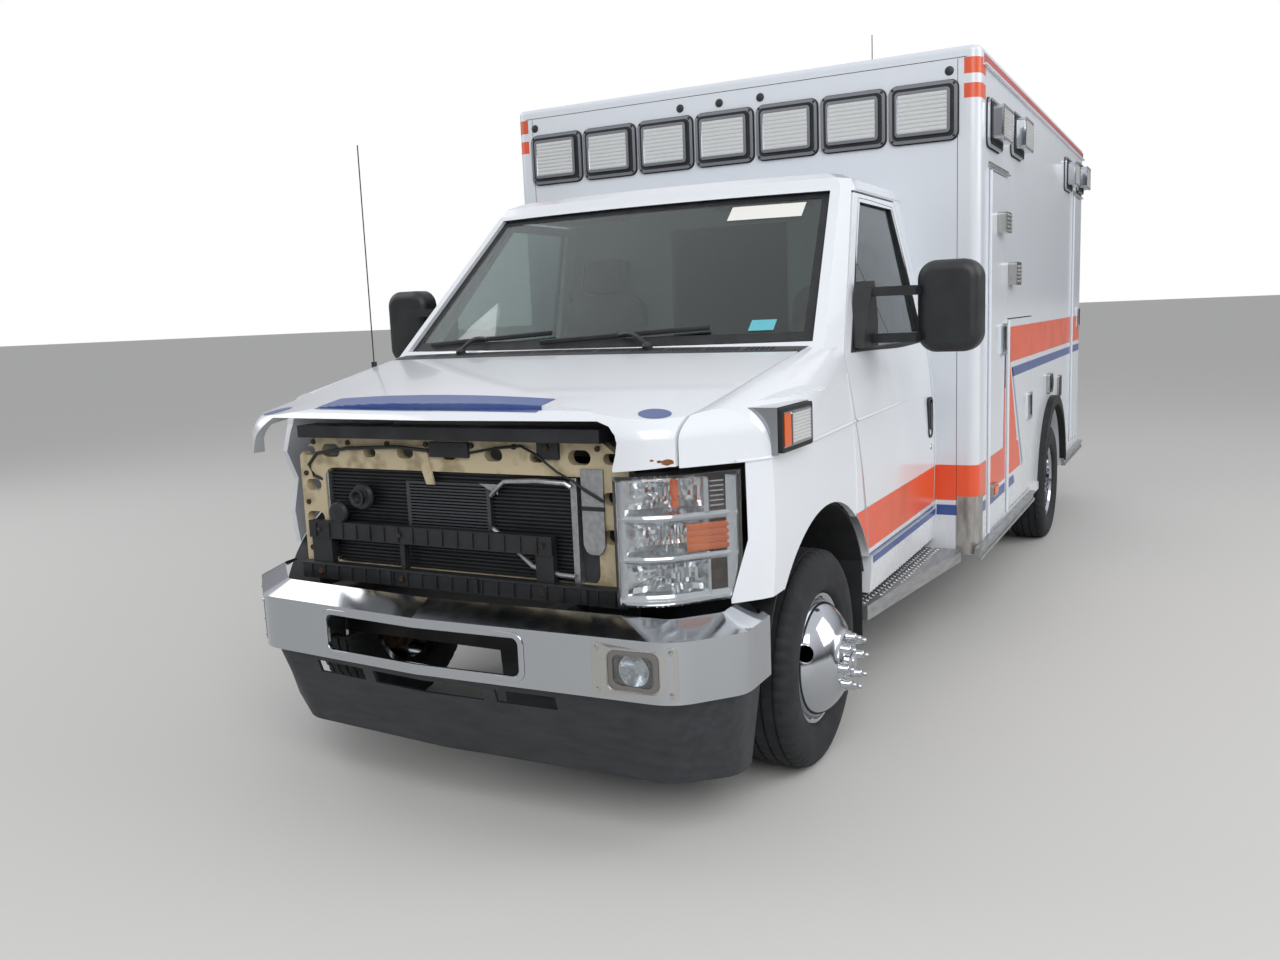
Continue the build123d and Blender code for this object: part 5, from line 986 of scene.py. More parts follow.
class AMBULANCE_OT_cab_trim(bpy.types.Operator):
    """Adds the cab's seals, wipers, handles, mouldings and labels"""
    bl_idname = "ambulance.cab_trim"
    bl_label = "Cab trim"

    def execute(self, context):
        m = MATERIALS

        def on_glass(x, z, lift):
            return cast("windshield", mm(x, -600, z), BACK, lift, Vector((0, -0.86, 0.5)))

        # Black border printed on the windshield, and the blank labels on it
        border = bmesh.new()
        top, bottom = 2000.0, 1438.0

        def border_at(across, up):
            """A point of the glass, a share across from its middle to its edge and a share up it."""
            z = bottom + (top - bottom) * up
            return on_glass((896.0 - 120.0 * (z - 1436.0) / 566.0 - 1.5) * across, z, 0.6)

        strips = ((0, 0.055, -1, 1), (0.955, 1, -1, 1), (0.05, 0.96, -1, -0.955), (0.05, 0.96, 0.955, 1))
        for r0, r1, c0, c1 in strips:
            add_draped(border, lambda r, c: border_at(c0 + c * (c1 - c0), r0 + r * (r1 - r0)), 10, 40)
        make_piece(border, "windshield_black_border", m.rubber)
        for name, x0, x1, z0, z1, stock in (("label_white", 395, 690, 1905, 1962, m.paper),
                                            ("label_teal", 655, 742, 1478, 1515, m.teal)):
            label = bmesh.new()
            add_draped(label, lambda r, c: on_glass(x0 + c * (x1 - x0), z0 + r * (z1 - z0), 1.2), 3, 12)
            make_piece(label, name, stock)

        # Wipers: arm, blade and rubber, resting on the glass above the cowl
        wipers = bmesh.new()
        for pivot, tip_from, tip_to in ((330, -150, 520), (-520, -760, -120)):
            base = on_top("cowl_grille", pivot, 40 + 0.00017 * pivot ** 2, 10)
            blade = []
            for step in range(17):
                x = tip_from + (tip_to - tip_from) * step / 16
                blade.append(on_glass(x, 1455 + 34 * (x - tip_from) / (tip_to - tip_from), 15))
            path = [in_mm(spot) for spot in blade if spot is not None]
            start = in_mm(base)
            add_tube(wipers, path, 6.0, 8, 1.6)
            middle = path[len(path) // 2]
            bend = [start]
            for step in range(1, 9):
                share = step / 8
                x, station, z = (a + share * (b - a) for a, b in zip(start, middle))
                bend.append((x, station, z + 22 * sin(pi * share)))
            add_tube(wipers, bend, 8.0, 8)
            add_cap(wipers, base + DOWN * 0.012, (0, -0.3, 1), [(0, 20), (16, 18), (24, 10)])
        make_piece(wipers, "wipers", m.abs)

        # Cab doors: window seal, side moulding, handle, lock and the mirror's glass
        for side, hand in SIDES:
            door = "cab_door_" + hand
            seal = bmesh.new()
            outline = [(402, 1392), (932, 1962), (1410, 1962), (1462, 1392)]
            middle = Vector((1060, 1660))
            pairs = []
            for k, corner in enumerate(outline):
                for step in range(12):
                    point = Vector(corner).lerp(Vector(outline[(k + 1) % 4]), step / 12)
                    away = (point - middle).normalized()
                    rim = point + away * 17
                    a = on_side(door, side, rim.x, rim.y, 1.0)
                    if a is None:
                        pairs.append(None)
                        continue
                    # The inner edge keeps the outer skin's slope, since it hangs over the opening
                    b = a + Vector((-side * 0.213 * away.y, -away.x, -away.y)) * 18 / 1000
                    pairs.append([seal.verts.new(v) for v in (a, b, b + Vector((-side * 0.022, 0, 0)))])
            for k, p in enumerate(pairs):
                q = pairs[(k + 1) % len(pairs)]
                if p and q:
                    seal.faces.new((p[0], q[0], q[1], p[1]))
                    seal.faces.new((p[1], q[1], q[2], p[2]))
            make_piece(seal, "window_seal_" + hand, m.rubber, door)

            # Side moulding, on the door and on the fender in line with it
            def strip(r, station):
                return 1120 + 0.0181 * (station + 664) + 12 * r, (1.0, 5.0, 6.0, 5.0, 1.0)[round(r * 4)]

            def on_door(r, c):
                station = seam(1140) + 12 + (1100 - seam(1140) - 12) * c
                return on_side(door, side, station, *strip(r, station))

            def on_fender(r, c):
                station = (-600 if side > 0 else -340) * (1 - c) + 304 * c
                return on_side("fender_" + hand, side, station, *strip(r, station))

            def on_rear_panel(r, c):
                z, lift = strip(r, 330)
                return fender_rear(side, hand, z, c, lift)

            for name, body, pieces in (("door", door, ((on_door, 30),)),
                                       ("fender", "body", ((on_fender, 30), (on_rear_panel, 4)))):
                moulding = bmesh.new()
                for point_at, columns in pieces:
                    add_draped(moulding, point_at, 4, columns)
                make_piece(moulding, name + "_moulding_" + hand, m.enamel, body)

            handle = bmesh.new()
            skin = on_side(door, side, 1456, 1046, 0).x * 1000

            def flat(u, v, depth):
                return mm(skin + side * depth, u, v)

            add_ring(handle, flat, rounded(74, 182, 26), rounded(52, 158, 18), -4.0, 8.0, (1456, 1046))
            add_prism(handle, flat, rounded(54, 160, 18), -4.0, 1.5, (1456, 1046))
            add_prism(handle, flat, rounded(34, 120, 12), 1.5, 10.0, (1456, 1052))
            make_piece(handle, "door_handle_" + hand, m.abs, door, bevel=2.0)
            lock = bmesh.new()
            add_cap(lock, on_side(door, side, 1466, 912, 0), (side, 0, 0), [(0, 13), (2.5, 12), (3.5, 7)])
            make_piece(lock, "door_lock_" + hand, m.chrome, door)

            def mirror_back(u, v, depth):
                return mm(side * u, MIRROR_BACK + depth, v)

            glass = bmesh.new()
            for height, radius, z in ((176, 50, 1590), (96, 36, 1434)):
                add_prism(glass, mirror_back, rounded(190, height, radius), 0.2, 1.2, (1262, z))
            make_piece(glass, "mirror_glass_" + hand, m.chrome, door)

        # Rear panel of each fender, between the wheel arch and the door
        for side, hand in SIDES:
            panel = bmesh.new()
            add_draped(panel, lambda r, c: fender_rear(side, hand, 614 + r * (BELT - 616), c, 0.0), 48, 6)
            thicken(make_piece(panel, "fender_rear_panel_" + hand, m.enamel), 2.0)

        # Rain gutters along the cab's roof
        gutter = bmesh.new()
        for side in (1, -1):
            stations = [905 + 665 * step / 24 for step in range(25)]
            spots = [(s, on_side("cab_frame", side, s, 2013, 1.5)) for s in stations]
            points = [(spot.x * 1000, s, 2013) for s, spot in spots if spot is not None]
            add_tube(gutter, points, 5.0, 8)
        make_piece(gutter, "cab_gutters", m.enamel)
        return {"FINISHED"}


class AMBULANCE_OT_hood_marks(bpy.types.Operator):
    """Lays a plain band and plain discs of film on the hood, and the rust spot beside the headlamp"""
    bl_idname = "ambulance.hood_marks"
    bl_label = "Hood marks"

    def execute(self, context):
        m = MATERIALS

        def band_at(r, c):
            """A point of the band, from its lower edge up and from the vehicle's right across."""
            lower, upper = -36 - 20 * min(1, 2.2 * c), 72 - 29 * c
            return on_slope("hood", -520 + 900 * c, lower * (1 - r) + upper * r, 1.2)

        band = bmesh.new()
        add_draped(band, band_at, 56, 180)
        make_piece(band, "hood_band", m.film_blue, "hood")
        discs = bmesh.new()
        radius = 48
        for side in (1, -1):
            add_draped(discs, lambda r, c: on_top("hood", side * 735 + radius * r * cos(ROUND * c),
                                                  -690 + radius * r * sin(ROUND * c), 0.8), 3, 32)
        make_piece(discs, "hood_discs", m.film_blue, "hood")
        # Rust that came through the paint at the hood's corner
        rust = bmesh.new()
        for x, z, size in ((800, 1143, 11), (782, 1146, 5), (764, 1150, 4)):
            middle = on_front("hood", x, z, 0.4)
            edge = []
            for k, turn in enumerate(arc(0, 330, 11)):
                radius = size * (1 + 0.25 * sin(3.1 * k))
                edge.append(on_front("hood", x + radius * cos(turn) * 1.3, z + radius * sin(turn) * 0.8, 0.4))
            if middle is not None and all(point is not None for point in edge):
                hub = rust.verts.new(middle)
                ring = [rust.verts.new(point) for point in edge]
                for k in range(12):
                    rust.faces.new((hub, ring[k], ring[(k + 1) % 12]))
        make_piece(rust, "hood_rust", m.rust, "hood")
        return {"FINISHED"}


class AMBULANCE_OT_headlamp(bpy.types.Operator):
    """Builds the headlamp: reflector tiers, bulbs, crossbars, amber reflector and lens, and the fog lamps"""
    bl_idname = "ambulance.headlamp"
    bl_label = "Headlamp and fog lamps"

    def execute(self, context):
        m = MATERIALS
        centre = mm(700, -560, 0)

        def shell(turn, z, inset):
            """A point behind the lamp's face, at a turn from straight ahead about the middle of the lamp."""
            inward = Vector((-sin(radians(turn)), cos(radians(turn)), 0))
            start = Vector((centre.x, centre.y, z / 1000)) - inward * 0.7
            return cast("front_lamps", start, inward, inset, inward)

        start, end, low, high = -10.0, 83.0, 734.0, 1104.0  # first and last turn, lower and upper edge

        def sheet(bm, t0, t1, z0, z1, inset, rows, columns):
            add_draped(bm, lambda r, c: shell(t0 + c * (t1 - t0), z0 + r * (z1 - z0), inset(r, c)),
                       rows, columns)

        def sparkle(row, column):
            """A number between -1 and 1 that looks random, for the tilt of a facet."""
            value = sin(row * 12.9898 + column * 78.233) * 43758.5453
            return value - int(value)

        def plateau(share, rise, fall):
            """Zero at both ends, rising steeply to a level stretch of one between them."""
            return min(1.0, rise * share, fall * (1 - share)) ** 0.5

        # Reflector: three bowls one above the other, each pressed into small flat facets
        bowls = bmesh.new()
        for z0, z1, depth, wide, tall in ((low + 14, 856, 64, 26, 7), (874, 972, 70, 34, 9),
                                          (992, high - 10, 64, 30, 7)):
            sheet(bowls, start + 3, end - 21, z0, z1,
                  lambda r, c: 12 + depth * plateau(r, 4, 4) * plateau(c, 5, 4)
                  + 5 * sparkle(round(r * tall), round(c * wide)), tall, wide)
        make_piece(bowls, "headlamp_reflector", m.reflector, smooth=4)
        # Plain bowl round the corner, behind the side lamp
        corner = bmesh.new()
        for z0, z1 in ((low + 14, 856), (992, high - 10)):
            sheet(corner, end - 21, end - 3, z0, z1, lambda r, c: 12 + 40 * sin(pi * r) * (1 - c), 8, 8)
        make_piece(corner, "headlamp_corner_bowls", m.iron)
        bars = bmesh.new()
        for inset, z0, z1 in ((1, 855, 875), (1, 971, 993), (0, low, low + 30), (0, high - 12, high)):
            sheet(bars, start + inset, end - inset, z0, z1, lambda r, c: 7 - 5 * sin(pi * r), 6, 44)
        for t0, t1, z0, z1 in ((start, start + 6, low, high), (end - 8, end, low, high),
                               (end - 26, end - 21, 992, high - 8),
                               (end - 24, end - 21, low + 12, 856)):
            sheet(bars, t0, t1, z0, z1, lambda r, c: 7 - 5 * sin(pi * c), 24, 4)
        for z in range(1006, 1092, 14):
            sheet(bars, end - 20, end - 9, z, z + 4, lambda r, c: 10, 1, 4)
        make_piece(bars, "headlamp_crossbars", m.chrome, smooth=60)
        back = bmesh.new()
        sheet(back, start, end, low, high, lambda r, c: 92, 6, 30)
        make_piece(back, "headlamp_housing", m.abs)
        amber = bmesh.new()
        for row in range(4):
            sheet(amber, 41, end - 3, 882 + row * 20, 901 + row * 20, lambda r, c: 7 - 2.5 * sin(pi * r), 4, 20)
        for turn, z, tall in ((33, 1060, 26), (33, 1020, 13)):
            spot = shell(turn, z, 40)
            add_cap(amber, spot, -DOWN, [(-tall, 8), (-tall * 0.4, 13), (tall * 0.6, 12), (tall, 6)])
        make_piece(amber, "headlamp_amber", m.amber)
        bulbs = bmesh.new()
        for turn, z, radius in ((12, 1042, 20), (12, 922, 17), (17, 796, 22)):
            spot = shell(turn, z, 52)
            outward = Vector((sin(radians(turn)), -cos(radians(turn)), 0))
            bulb = ((-10, 0.6), (0, 0.7), (14, 0.66), (24, 0.4), (28, 0))
            add_lathe(bulbs, spot, outward, [(along, radius * share) for along, share in bulb], 24, False)
        make_piece(bulbs, "headlamp_bulbs", m.lens)
        rim = bmesh.new()
        for t0, t1 in ((start - 1, start + 0.6), (end - 0.5, end + 1)):
            sheet(rim, t0, t1, low, high, lambda r, c: 1.0, 12, 2)
        for z0, z1 in ((low - 2, low + 3), (high - 3, high + 2)):
            sheet(rim, start - 1, end + 1, z0, z1, lambda r, c: 1.0, 2, 44)
        make_piece(rim, "headlamp_rim", m.abs)
        lens = bmesh.new()
        sheet(lens, start - 1, end + 1, low - 2, high + 2, lambda r, c: 0.0, 16, 48)

        # Fog lamps in the bumper: plate, screws, rim, dish and lens
        def bumper_face(u, v, depth):
            hit = cast("front_bumper", mm(u, -1200, v), BACK, reach=0.5)
            base = mm(0, -892, 0).y if hit is None else hit.y
            return Vector((u / 1000, base - depth / 1000, v / 1000))

        def straight_end(u, v, depth):
            return mm(742 + u, -896 - depth, 578 + v)

        def bent_end(u, v, depth):
            """On the pushed-in end of the bumper, whose face looks outward."""
            return mm(-803.5 + 0.747 * u - 0.665 * depth, -767 - 0.665 * u - 0.747 * depth, 578 + v)

        def straight_skin(u, v, depth):
            return bumper_face(742 + u, 578 + v, depth)

        plates, screws, rims, dishes = (bmesh.new() for _ in range(4))
        dish = [(-44, 26.0), (-40, 34), (-22, 44), (-6, 47), (-6, 44), (-40, 20), (-44, 0.0)]
        for flat, skin in ((straight_end, straight_skin), (bent_end, bent_end)):
            forward = flat(0, 0, 1) - flat(0, 0, 0)
            add_ring(plates, skin, rounded(256, 152, 14, 8), rounded(163, 121, 26, 8), 0.3, 2.0)
            for du in (-110, 110):
                for dv in (-60, 60):
                    add_cap(screws, skin(du, dv, 2.0), forward, [(0, 7), (2, 6), (3, 3)], 14)
            add_ring(rims, flat, rounded(157, 115, 25, 8), rounded(128, 88, 20, 8), -30, 2.0)
            add_lathe(dishes, flat(0, 0, 0), forward, dish, 40, False)
            add_prism(lens, flat, rounded(130, 90, 21, 8), -6.0, -2.0)
        make_piece(plates, "fog_plates", m.stainless, bevel=0.5)
        make_piece(screws, "fog_plate_screws", m.chrome)
        make_piece(rims, "fog_lamp_rims", m.trim, bevel=1.0)
        make_piece(dishes, "fog_lamp_dishes", m.reflector)
        glass = make_piece(lens, "headlamp_and_fog_lenses", m.lens, smooth=60)
        thicken(glass, 2.0)
        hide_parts("front_lamps")

        # Lip round the bumper's intake
        lip = bmesh.new()
        add_ring(lip, bumper_face, rounded(786, 152, 38, 10), rounded(750, 120, 24, 10), 0.2, 4.0, (0, 580))
        make_piece(lip, "intake_lip", m.chrome, bevel=1.5)
        return {"FINISHED"}


class AMBULANCE_OT_front_core(bpy.types.Operator):
    """Adds what shows where the grille is missing: pipes, horns, brackets, tank edges, bolts and hoses"""
    bl_idname = "ambulance.front_core"
    bl_label = "Open front end"

    def execute(self, context):
        m = MATERIALS
        front = -694.0  # station of the tie bar's face
        steel, dark, bolts, core, posts, cable = (bmesh.new() for _ in range(6))
        # Silver side tanks of the condenser and its tubes
        for x in (-548, 440):
            add_box(steel, x, x + 22, -690, -662, 744, 1078)
        for z in range(760, 1078, 12):
            add_box(core, -526, 440, -676, -668, z, z + 5)
        # Grey upright with a rounded foot, and the black strap across it
        foot = [(486, 1108), (562, 1108), (562, 880), (553, 860), (540, 850), (508, 850), (495, 860),
                (486, 880)]
        add_prism(posts, lambda u, v, depth: mm(u, front - depth, v), foot, 0.3, 10.0)
        add_box(dark, 486, 566, front - 14, front - 10, 984, 996)
        # Rubber blocks that held the grille on the tie bar, and the light corner piece of the small cooler
        add_box(dark, -73, 81, front - 12, front, 1130, 1178)
        add_box(dark, 338, 414, front - 12, front, 1133, 1186)
        corner = [(104, 1048), (176, 1048), (176, 1014)]
        add_prism(posts, lambda u, v, depth: mm(u, -688 - depth, v), corner, 0.0, 3.0)
        # Splash shields under the radiator, between the rails and outside them
        for x0, x1 in ((-380, 380), (-640, -478), (478, 640)):
            add_box(dark, x0, x1, -656, -650, 560, 700)
        # Horn and the smaller disc beside it
        add_cap(dark, mm(-360, front - 4, 990), -BACK,
                [(0, 42), (12, 46), (22, 40), (26, 24), (44, 30), (44, 22), (26, 14)], 32)
        add_cap(dark, mm(-470, front - 4, 930), -BACK, [(0, 36), (14, 40), (24, 34), (28, 12)], 32)
        # Pipes from the coolers, bent round the posts, a hose and the release cable clipped along the tie bar
        for target, radius, sides, points in (
            (steel, 8.0, 10, [(142, -676, 1010), (150, -690, 1012), (170, -698, 1030), (210, -700, 1060),
                              (330, -700, 1066), (430, -700, 1062), (446, -694, 1050)]),
            (steel, 8.0, 10, [(142, -676, 905), (160, -692, 902), (200, -700, 880), (300, -702, 800),
                              (400, -702, 780), (446, -694, 776)]),
            (dark, 6.0, 10, [(-548, -690, 1040), (-580, -700, 1052), (-600, -700, 1090), (-560, -700, 1130),
                             (-420, -702, 1150), (-200, -706, 1160), (-73, -704, 1150)]),
            (cable, 4.0, 8, [(80, -699, 1145), (180, -699, 1162), (277, -699, 1171), (330, -709, 1152),
                             (408, -709, 1098), (460, -702, 1070), (500, -709, 1046), (562, -709, 1014)]),
        ):
            add_tube(target, points, radius, sides)
        # Bolts along the tie bar and the bars
        for x in (-575, -420, -250, -90, 90, 250, 400, 545):
            add_hex(bolts, mm(x, front, 1168), 9.0, 7.0)
        for x in (-552, -200, 353):
            add_hex(bolts, mm(x, front - 34, 728), 10.0, 8.0)
            add_hex(bolts, mm(x, front - 30, 872), 8.0, 7.0)
        add_hex(bolts, mm(372, front - 12, 1170), 9.0, 6.0)
        for z in (800, 960, 1060):
            for x in (-618, 616):
                add_hex(bolts, mm(x, front, z), 9.0, 7.0)
        # Ribs on the two bars that held the grille
        for x in range(-600, 620, 60):
            add_box(dark, x, x + 5, front - 40, front - 34, 704, 752)
        for x in range(-570, 380, 60):
            add_box(dark, x, x + 5, front - 35, front - 30, 846, 896)
        add_box(dark, -640, 640, front - 38, front - 34, 748, 756)
        make_piece(steel, "core_tanks_and_pipes", m.aluminium, bevel=1.5)
        make_piece(dark, "core_brackets_and_horns", m.abs, bevel=1.0)
        make_piece(bolts, "core_bolts", m.iron)
        make_piece(core, "condenser_tubes", m.abs)
        make_piece(posts, "core_upright", m.aluminium, bevel=1.5)
        make_piece(cable, "hood_release_cable", m.rubber)
        return {"FINISHED"}


def tyre_mesh(bm, side, x, station, blocks):
    """A tyre with its tread blocks, shoulder lugs and sidewall ribs."""
    segments = blocks * 4
    # Half the profile from the bead to the middle: across, radius, what the point is: i inside, w wall, r rib,
    # g groove, s shoulder
    half = [(83, 206, "i"), (83, 223, "w"), (97, 227, "w"), (106, 246, "w"), (107.5, 250, "w"),
            (107.5, 256, "w"), (112, 268, "w"), (114.3, 292, "w"), (113, 322, "w"), (108, 336, "w"),
            (104, 346, "s"), (98, 355, "s"), (86, 367, "s"), (70, 369.5, "s"), (66, 369.5, "r"),
            (64, 361, "g"), (58, 361, "g"), (56, 370, "r"), (26, 371.2, "r"), (24, 361.5, "g"),
            (18, 361.5, "g"), (16, 371.5, "r")]
    profile = [(-across, radius, kind) for across, radius, kind in half] + half[::-1]
    rings = []
    for k, turn in enumerate(arc(0, 360, segments)[:-1]):
        ring = []
        for across, radius, kind in profile:
            if kind == "s" and k % 4 == 0:
                radius -= 6.5 if radius > 350 else 3.0
            elif kind == "r" and (k + (2 if abs(across) < 30 else 0)) % 4 == 0:
                radius -= 4.5
            ring.append(bm.verts.new(mm(side * (x + across), station + radius * cos(turn),
                                        HUB + radius * sin(turn))))
        rings.append(ring)
    for k in range(segments):
        bridge(bm, rings[k], rings[(k + 1) % segments])


def eased(points, steps=5):
    """The same profile with smooth bends: a curve through its points."""
    result = []
    for i in range(len(points) - 1):
        a, b, c, d = (Vector(points[max(0, min(len(points) - 1, i + k))]) for k in (-1, 0, 1, 2))
        for k in range(steps):
            t = k / steps
            result.append(tuple(0.5 * (2 * b + (c - a) * t + (2 * a - 5 * b + 4 * c - d) * t * t
                                       + (3 * b - a - 3 * c + d) * t * t * t)))
    return result + [points[-1]]


def bell_cover(name, side, material, body):
    """The front wheel: rim, and a polished cover that bulges like a bell, with two round holes in it."""
    bell = eased([(78, 198), (84, 197), (100, 192.5), (116, 184), (133, 170.5), (149.5, 152), (163, 133),
                  (172.5, 117), (178, 109), (184, 104), (189, 101)])
    rim = eased([(92, 220), (90, 212), (84, 203), (78, 198)], 4)
    hub = [(190, 92), (190, 54), (193, 50), (208, 44), (213, 36), (214, 24), (214, 0), (160, 0), (160, 60),
           (20, 60)]
    inside = [(20, 64), (148, 66), (166, 96), (155, 126), (141, 146), (126, 161), (109, 173.5), (93, 181.5),
              (76, 186), (62, 190), (56, 197), (-80, 197)]
    barrel = [(-92, 222), (-85, 222), (-83, 205), (83, 205), (85, 222), (91, 222)]
    profile = barrel + rim[:-1] + bell + hub + inside
    bm = bmesh.new()
    centre = mm(side * FRONT_WHEEL, 0, HUB)
    add_lathe(bm, centre, (side, 0, 0), profile, 144)
    piece = make_piece(bm, name, material, body, smooth=30)
    cutter, lips = bmesh.new(), bmesh.new()
    for turn in (21.0, 201.0):
        outward = Vector((0, -cos(radians(turn)), sin(radians(turn))))
        lean = radians(55)  # of the hole's axis, from the wheel's
        axis = Vector((side * cos(lean), 0, 0)) + outward * sin(lean)
        middle = centre + Vector((side * 0.104, 0, 0)) + outward * 0.189
        add_lathe(cutter, middle, axis, [(-24, 0), (-24, 28), (40, 28), (40, 0)], 48, False)
        add_lathe(lips, middle, axis, [(-9, 28.5), (-1, 28.5), (2.0, 30), (1.5, 33), (-3, 35.5), (-9, 34)], 48)
    mesh = bpy.data.meshes.new("hole_cutter")
    bmesh.ops.recalc_face_normals(cutter, faces=cutter.faces)
    cutter.to_mesh(mesh)
    cutter.free()
    tool = bpy.data.objects.new("hole_cutter", mesh)
    bpy.context.scene.collection.objects.link(tool)
    cut = piece.modifiers.new("Holes", "BOOLEAN")
    cut.object = tool
    cut.operation = "DIFFERENCE"
    cut.solver = "EXACT"
    bpy.context.view_layer.update()
    done = bpy.data.meshes.new_from_object(piece.evaluated_get(bpy.context.evaluated_depsgraph_get()))
    piece.modifiers.clear()
    piece.data = done
    bpy.data.objects.remove(tool)
    make_piece(lips, name + "_hole_lips", material, body, smooth=50)
    return piece


class AMBULANCE_OT_wheels(bpy.types.Operator):
    """Builds the tyres' tread and the front wheels' bell covers, and adds nut covers, valves and hub caps"""
    bl_idname = "ambulance.wheels"
    bl_label = "Wheels"

    def execute(self, context):
        m = MATERIALS
        blocks = settings()[1].tread_blocks
        for side, hand in SIDES:
            for end, station, places in (("front", 0.0, (FRONT_WHEEL,)),
                                         ("rear", WHEELBASE, (OUTER_WHEEL, INNER_WHEEL))):
                body = "wheel_" + end + "_" + hand
                bm = bmesh.new()
                for x in places:
                    tyre_mesh(bm, side, x, station, blocks)
                piece = make_piece(bm, "tread_tyre_" + end + "_" + hand, m.tyre, body, smooth=50)
                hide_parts("tyre_" + end + "_" + hand)
                if end == "front":
                    cover = bell_cover("wheel_cover_" + hand, side, m.chrome, body)
                    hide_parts("rim_front_" + hand)
                dress, valves = bmesh.new(), bmesh.new()
                hub_face = (side, 0, 0)
                nut = [(0, 0), (-0.6, 6.5), (-3.5, 8.2), (-16, 8.6), (-18, 13), (-21, 14.5), (-42, 15),
                       (-46, 18), (-50, 18.5), (-50, 0)]
                if end == "front":
                    ring, reach, base, inward = 84.0, FRONT_WHEEL + 240, FRONT_WHEEL + 214, FRONT_WHEEL + 76
                    cap = [(0.2, 23), (4, 21), (6, 14)]
                else:
                    ring, reach, base, inward = 70.0, REAR_DISC + 212, REAR_DISC + 186, OUTER_WHEEL + 40
                    cap = [(0.2, 34), (6, 33), (9, 28), (9, 20), (12, 17)]
                for turn in arc(0, 360, 8)[:-1]:
                    spot = mm(side * (reach - 0.5), station + ring * cos(turn), HUB + ring * sin(turn))
                    add_lathe(dress, spot, hub_face, nut, 24, False)
                add_cap(dress, mm(side * base, station, HUB), hub_face, cap, 40)
                make_piece(dress, "nut_covers_" + end + "_" + hand, m.chrome, body, smooth=40)
                stem = ((0, 176), (14, 170), (40, 160))
                add_tube(valves, [(side * (inward + out), station + back, HUB) for out, back in stem], 5.0)
                make_piece(valves, "valve_" + end + "_" + hand, m.rubber, body)
        return {"FINISHED"}


def pillow(bm, centre, size, tilt=0.0, crown=12.0, channels=()):
    """A stuffed form: a rounded box, crowned on top, with sewn channels along it."""
    start = len(bm.verts)
    result = bmesh.ops.create_cube(bm, size=2.0)
    edges = list({e for v in result["verts"] for e in v.link_edges})
    bmesh.ops.subdivide_edges(bm, edges=edges, cuts=21, use_grid_fill=True)
    bm.verts.ensure_lookup_table()
    turn = Matrix.Rotation(tilt, 3, "X")
    power = 6.0  # of a superellipsoid, between a ball and a box
    for vert in bm.verts[start:]:
        x, y, z = vert.co
        shrink = (abs(x) ** power + abs(y) ** power + abs(z) ** power) ** (-1 / power)
        p = Vector((x * shrink * size[0] / 2, y * shrink * size[1] / 2, z * shrink * size[2] / 2))
        if z > 0.2:
            p.z += crown * (1 - x * x) * (1 - y * y)
            for channel in channels:
                p.z -= 7.0 * exp(-((x - channel) / 0.035) ** 2) * (1 - y ** 8)
            p.z -= 6.0 * exp(-((abs(x) - 0.72) / 0.03) ** 2) * (1 - y ** 8)
        p = turn @ p
        vert.co = mm(centre[0] + p.x, centre[1] + p.y, centre[2] + p.z)


class AMBULANCE_OT_cab_inside(bpy.types.Operator):
    """Builds the seats, belts, door trim, gauges' hood, levers and sun visors"""
    bl_idname = "ambulance.cab_inside"
    bl_label = "Inside of the cab"

    def execute(self, context):
        m = MATERIALS
        for side, hand in SIDES:
            x = side * 620.0
            base = bmesh.new()
            add_box(base, x - 190, x + 190, 885, 1255, 731, 975)
            base_piece = make_piece(base, "seat_base_" + hand, m.abs, bevel=18.0)
            cushion, back, head = bmesh.new(), bmesh.new(), bmesh.new()
            pillow(cushion, (x, 1060, 1022), (470, 500, 92), radians(-2.6), 10.0, (-0.3, 0.3))
            pillow(back, (x, 1385, 1360), (460, 600, 104), radians(75.5), 10.0, (-0.3, 0.3))
            pillow(head, (x, 1458, 1745), (250, 170, 76), radians(78), 6.0)
            for bm, name, fill in ((cushion, "seat_cushion_", 0.85), (back, "seat_back_", 0.85),
                                   (head, "headrest_", 0.9)):
                make_piece(bm, name + hand, m.vinyl, smooth=60)
            if side > 0:
                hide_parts("cab_seats")
            posts = bmesh.new()
            for dx in (-45, 45):
                add_tube(posts, [(x + dx, 1452, 1630), (x + dx, 1458, 1700)], 6.0)
            make_piece(posts, "headrest_posts_" + hand, m.chrome)
            belt = bmesh.new()
            strap = [(side * 868, 1520, 1700), (side * 874, 1530, 1200), (side * 878, 1530, 760)]
            add_tube(belt, strap, 22.0, 8)
            # The round tube is pressed flat into webbing
            for vert in belt.verts:
                vert.co.x = side * 0.874 + (vert.co.x - side * 0.874) * 0.07
            make_piece(belt, "belt_" + hand, m.rubber)
            panel = bmesh.new()

            def inner(u, v, depth):
                return mm(side * (925.6 - depth), u, v)

            add_prism(panel, inner, [(470, 680), (1500, 680), (1500, 1340), (420, 1340)], 0.0, 4.0)
            add_prism(panel, inner, oblong(760, 1300, 1010, 1070), 4.0, 42.0)
            make_piece(panel, "door_trim_" + hand, m.trim, "cab_door_" + hand, bevel=6.0)
            visor = bmesh.new()
            add_box(visor, side * 420 - 200, side * 420 + 200, 905, 1060, 1975, 1990)
            make_piece(visor, "sun_visor_" + hand, m.trim, bevel=6.0)
        hood = bmesh.new()
        add_box(hood, 230, 570, 480, 590, 1345, 1385)
        add_box(hood, -860, 860, 300, 330, 1350, 1356)
        make_piece(hood, "gauge_hood", m.abs, bevel=14.0)
        for name, points in (("lever_left", [(425, 700, 1240), (490, 690, 1262), (560, 676, 1280)]),
                             ("lever_right", [(375, 700, 1240), (310, 690, 1262), (240, 676, 1290)])):
            lever = bmesh.new()
            add_tube(lever, points, 8.0)
            make_piece(lever, name, m.abs)
        return {"FINISHED"}


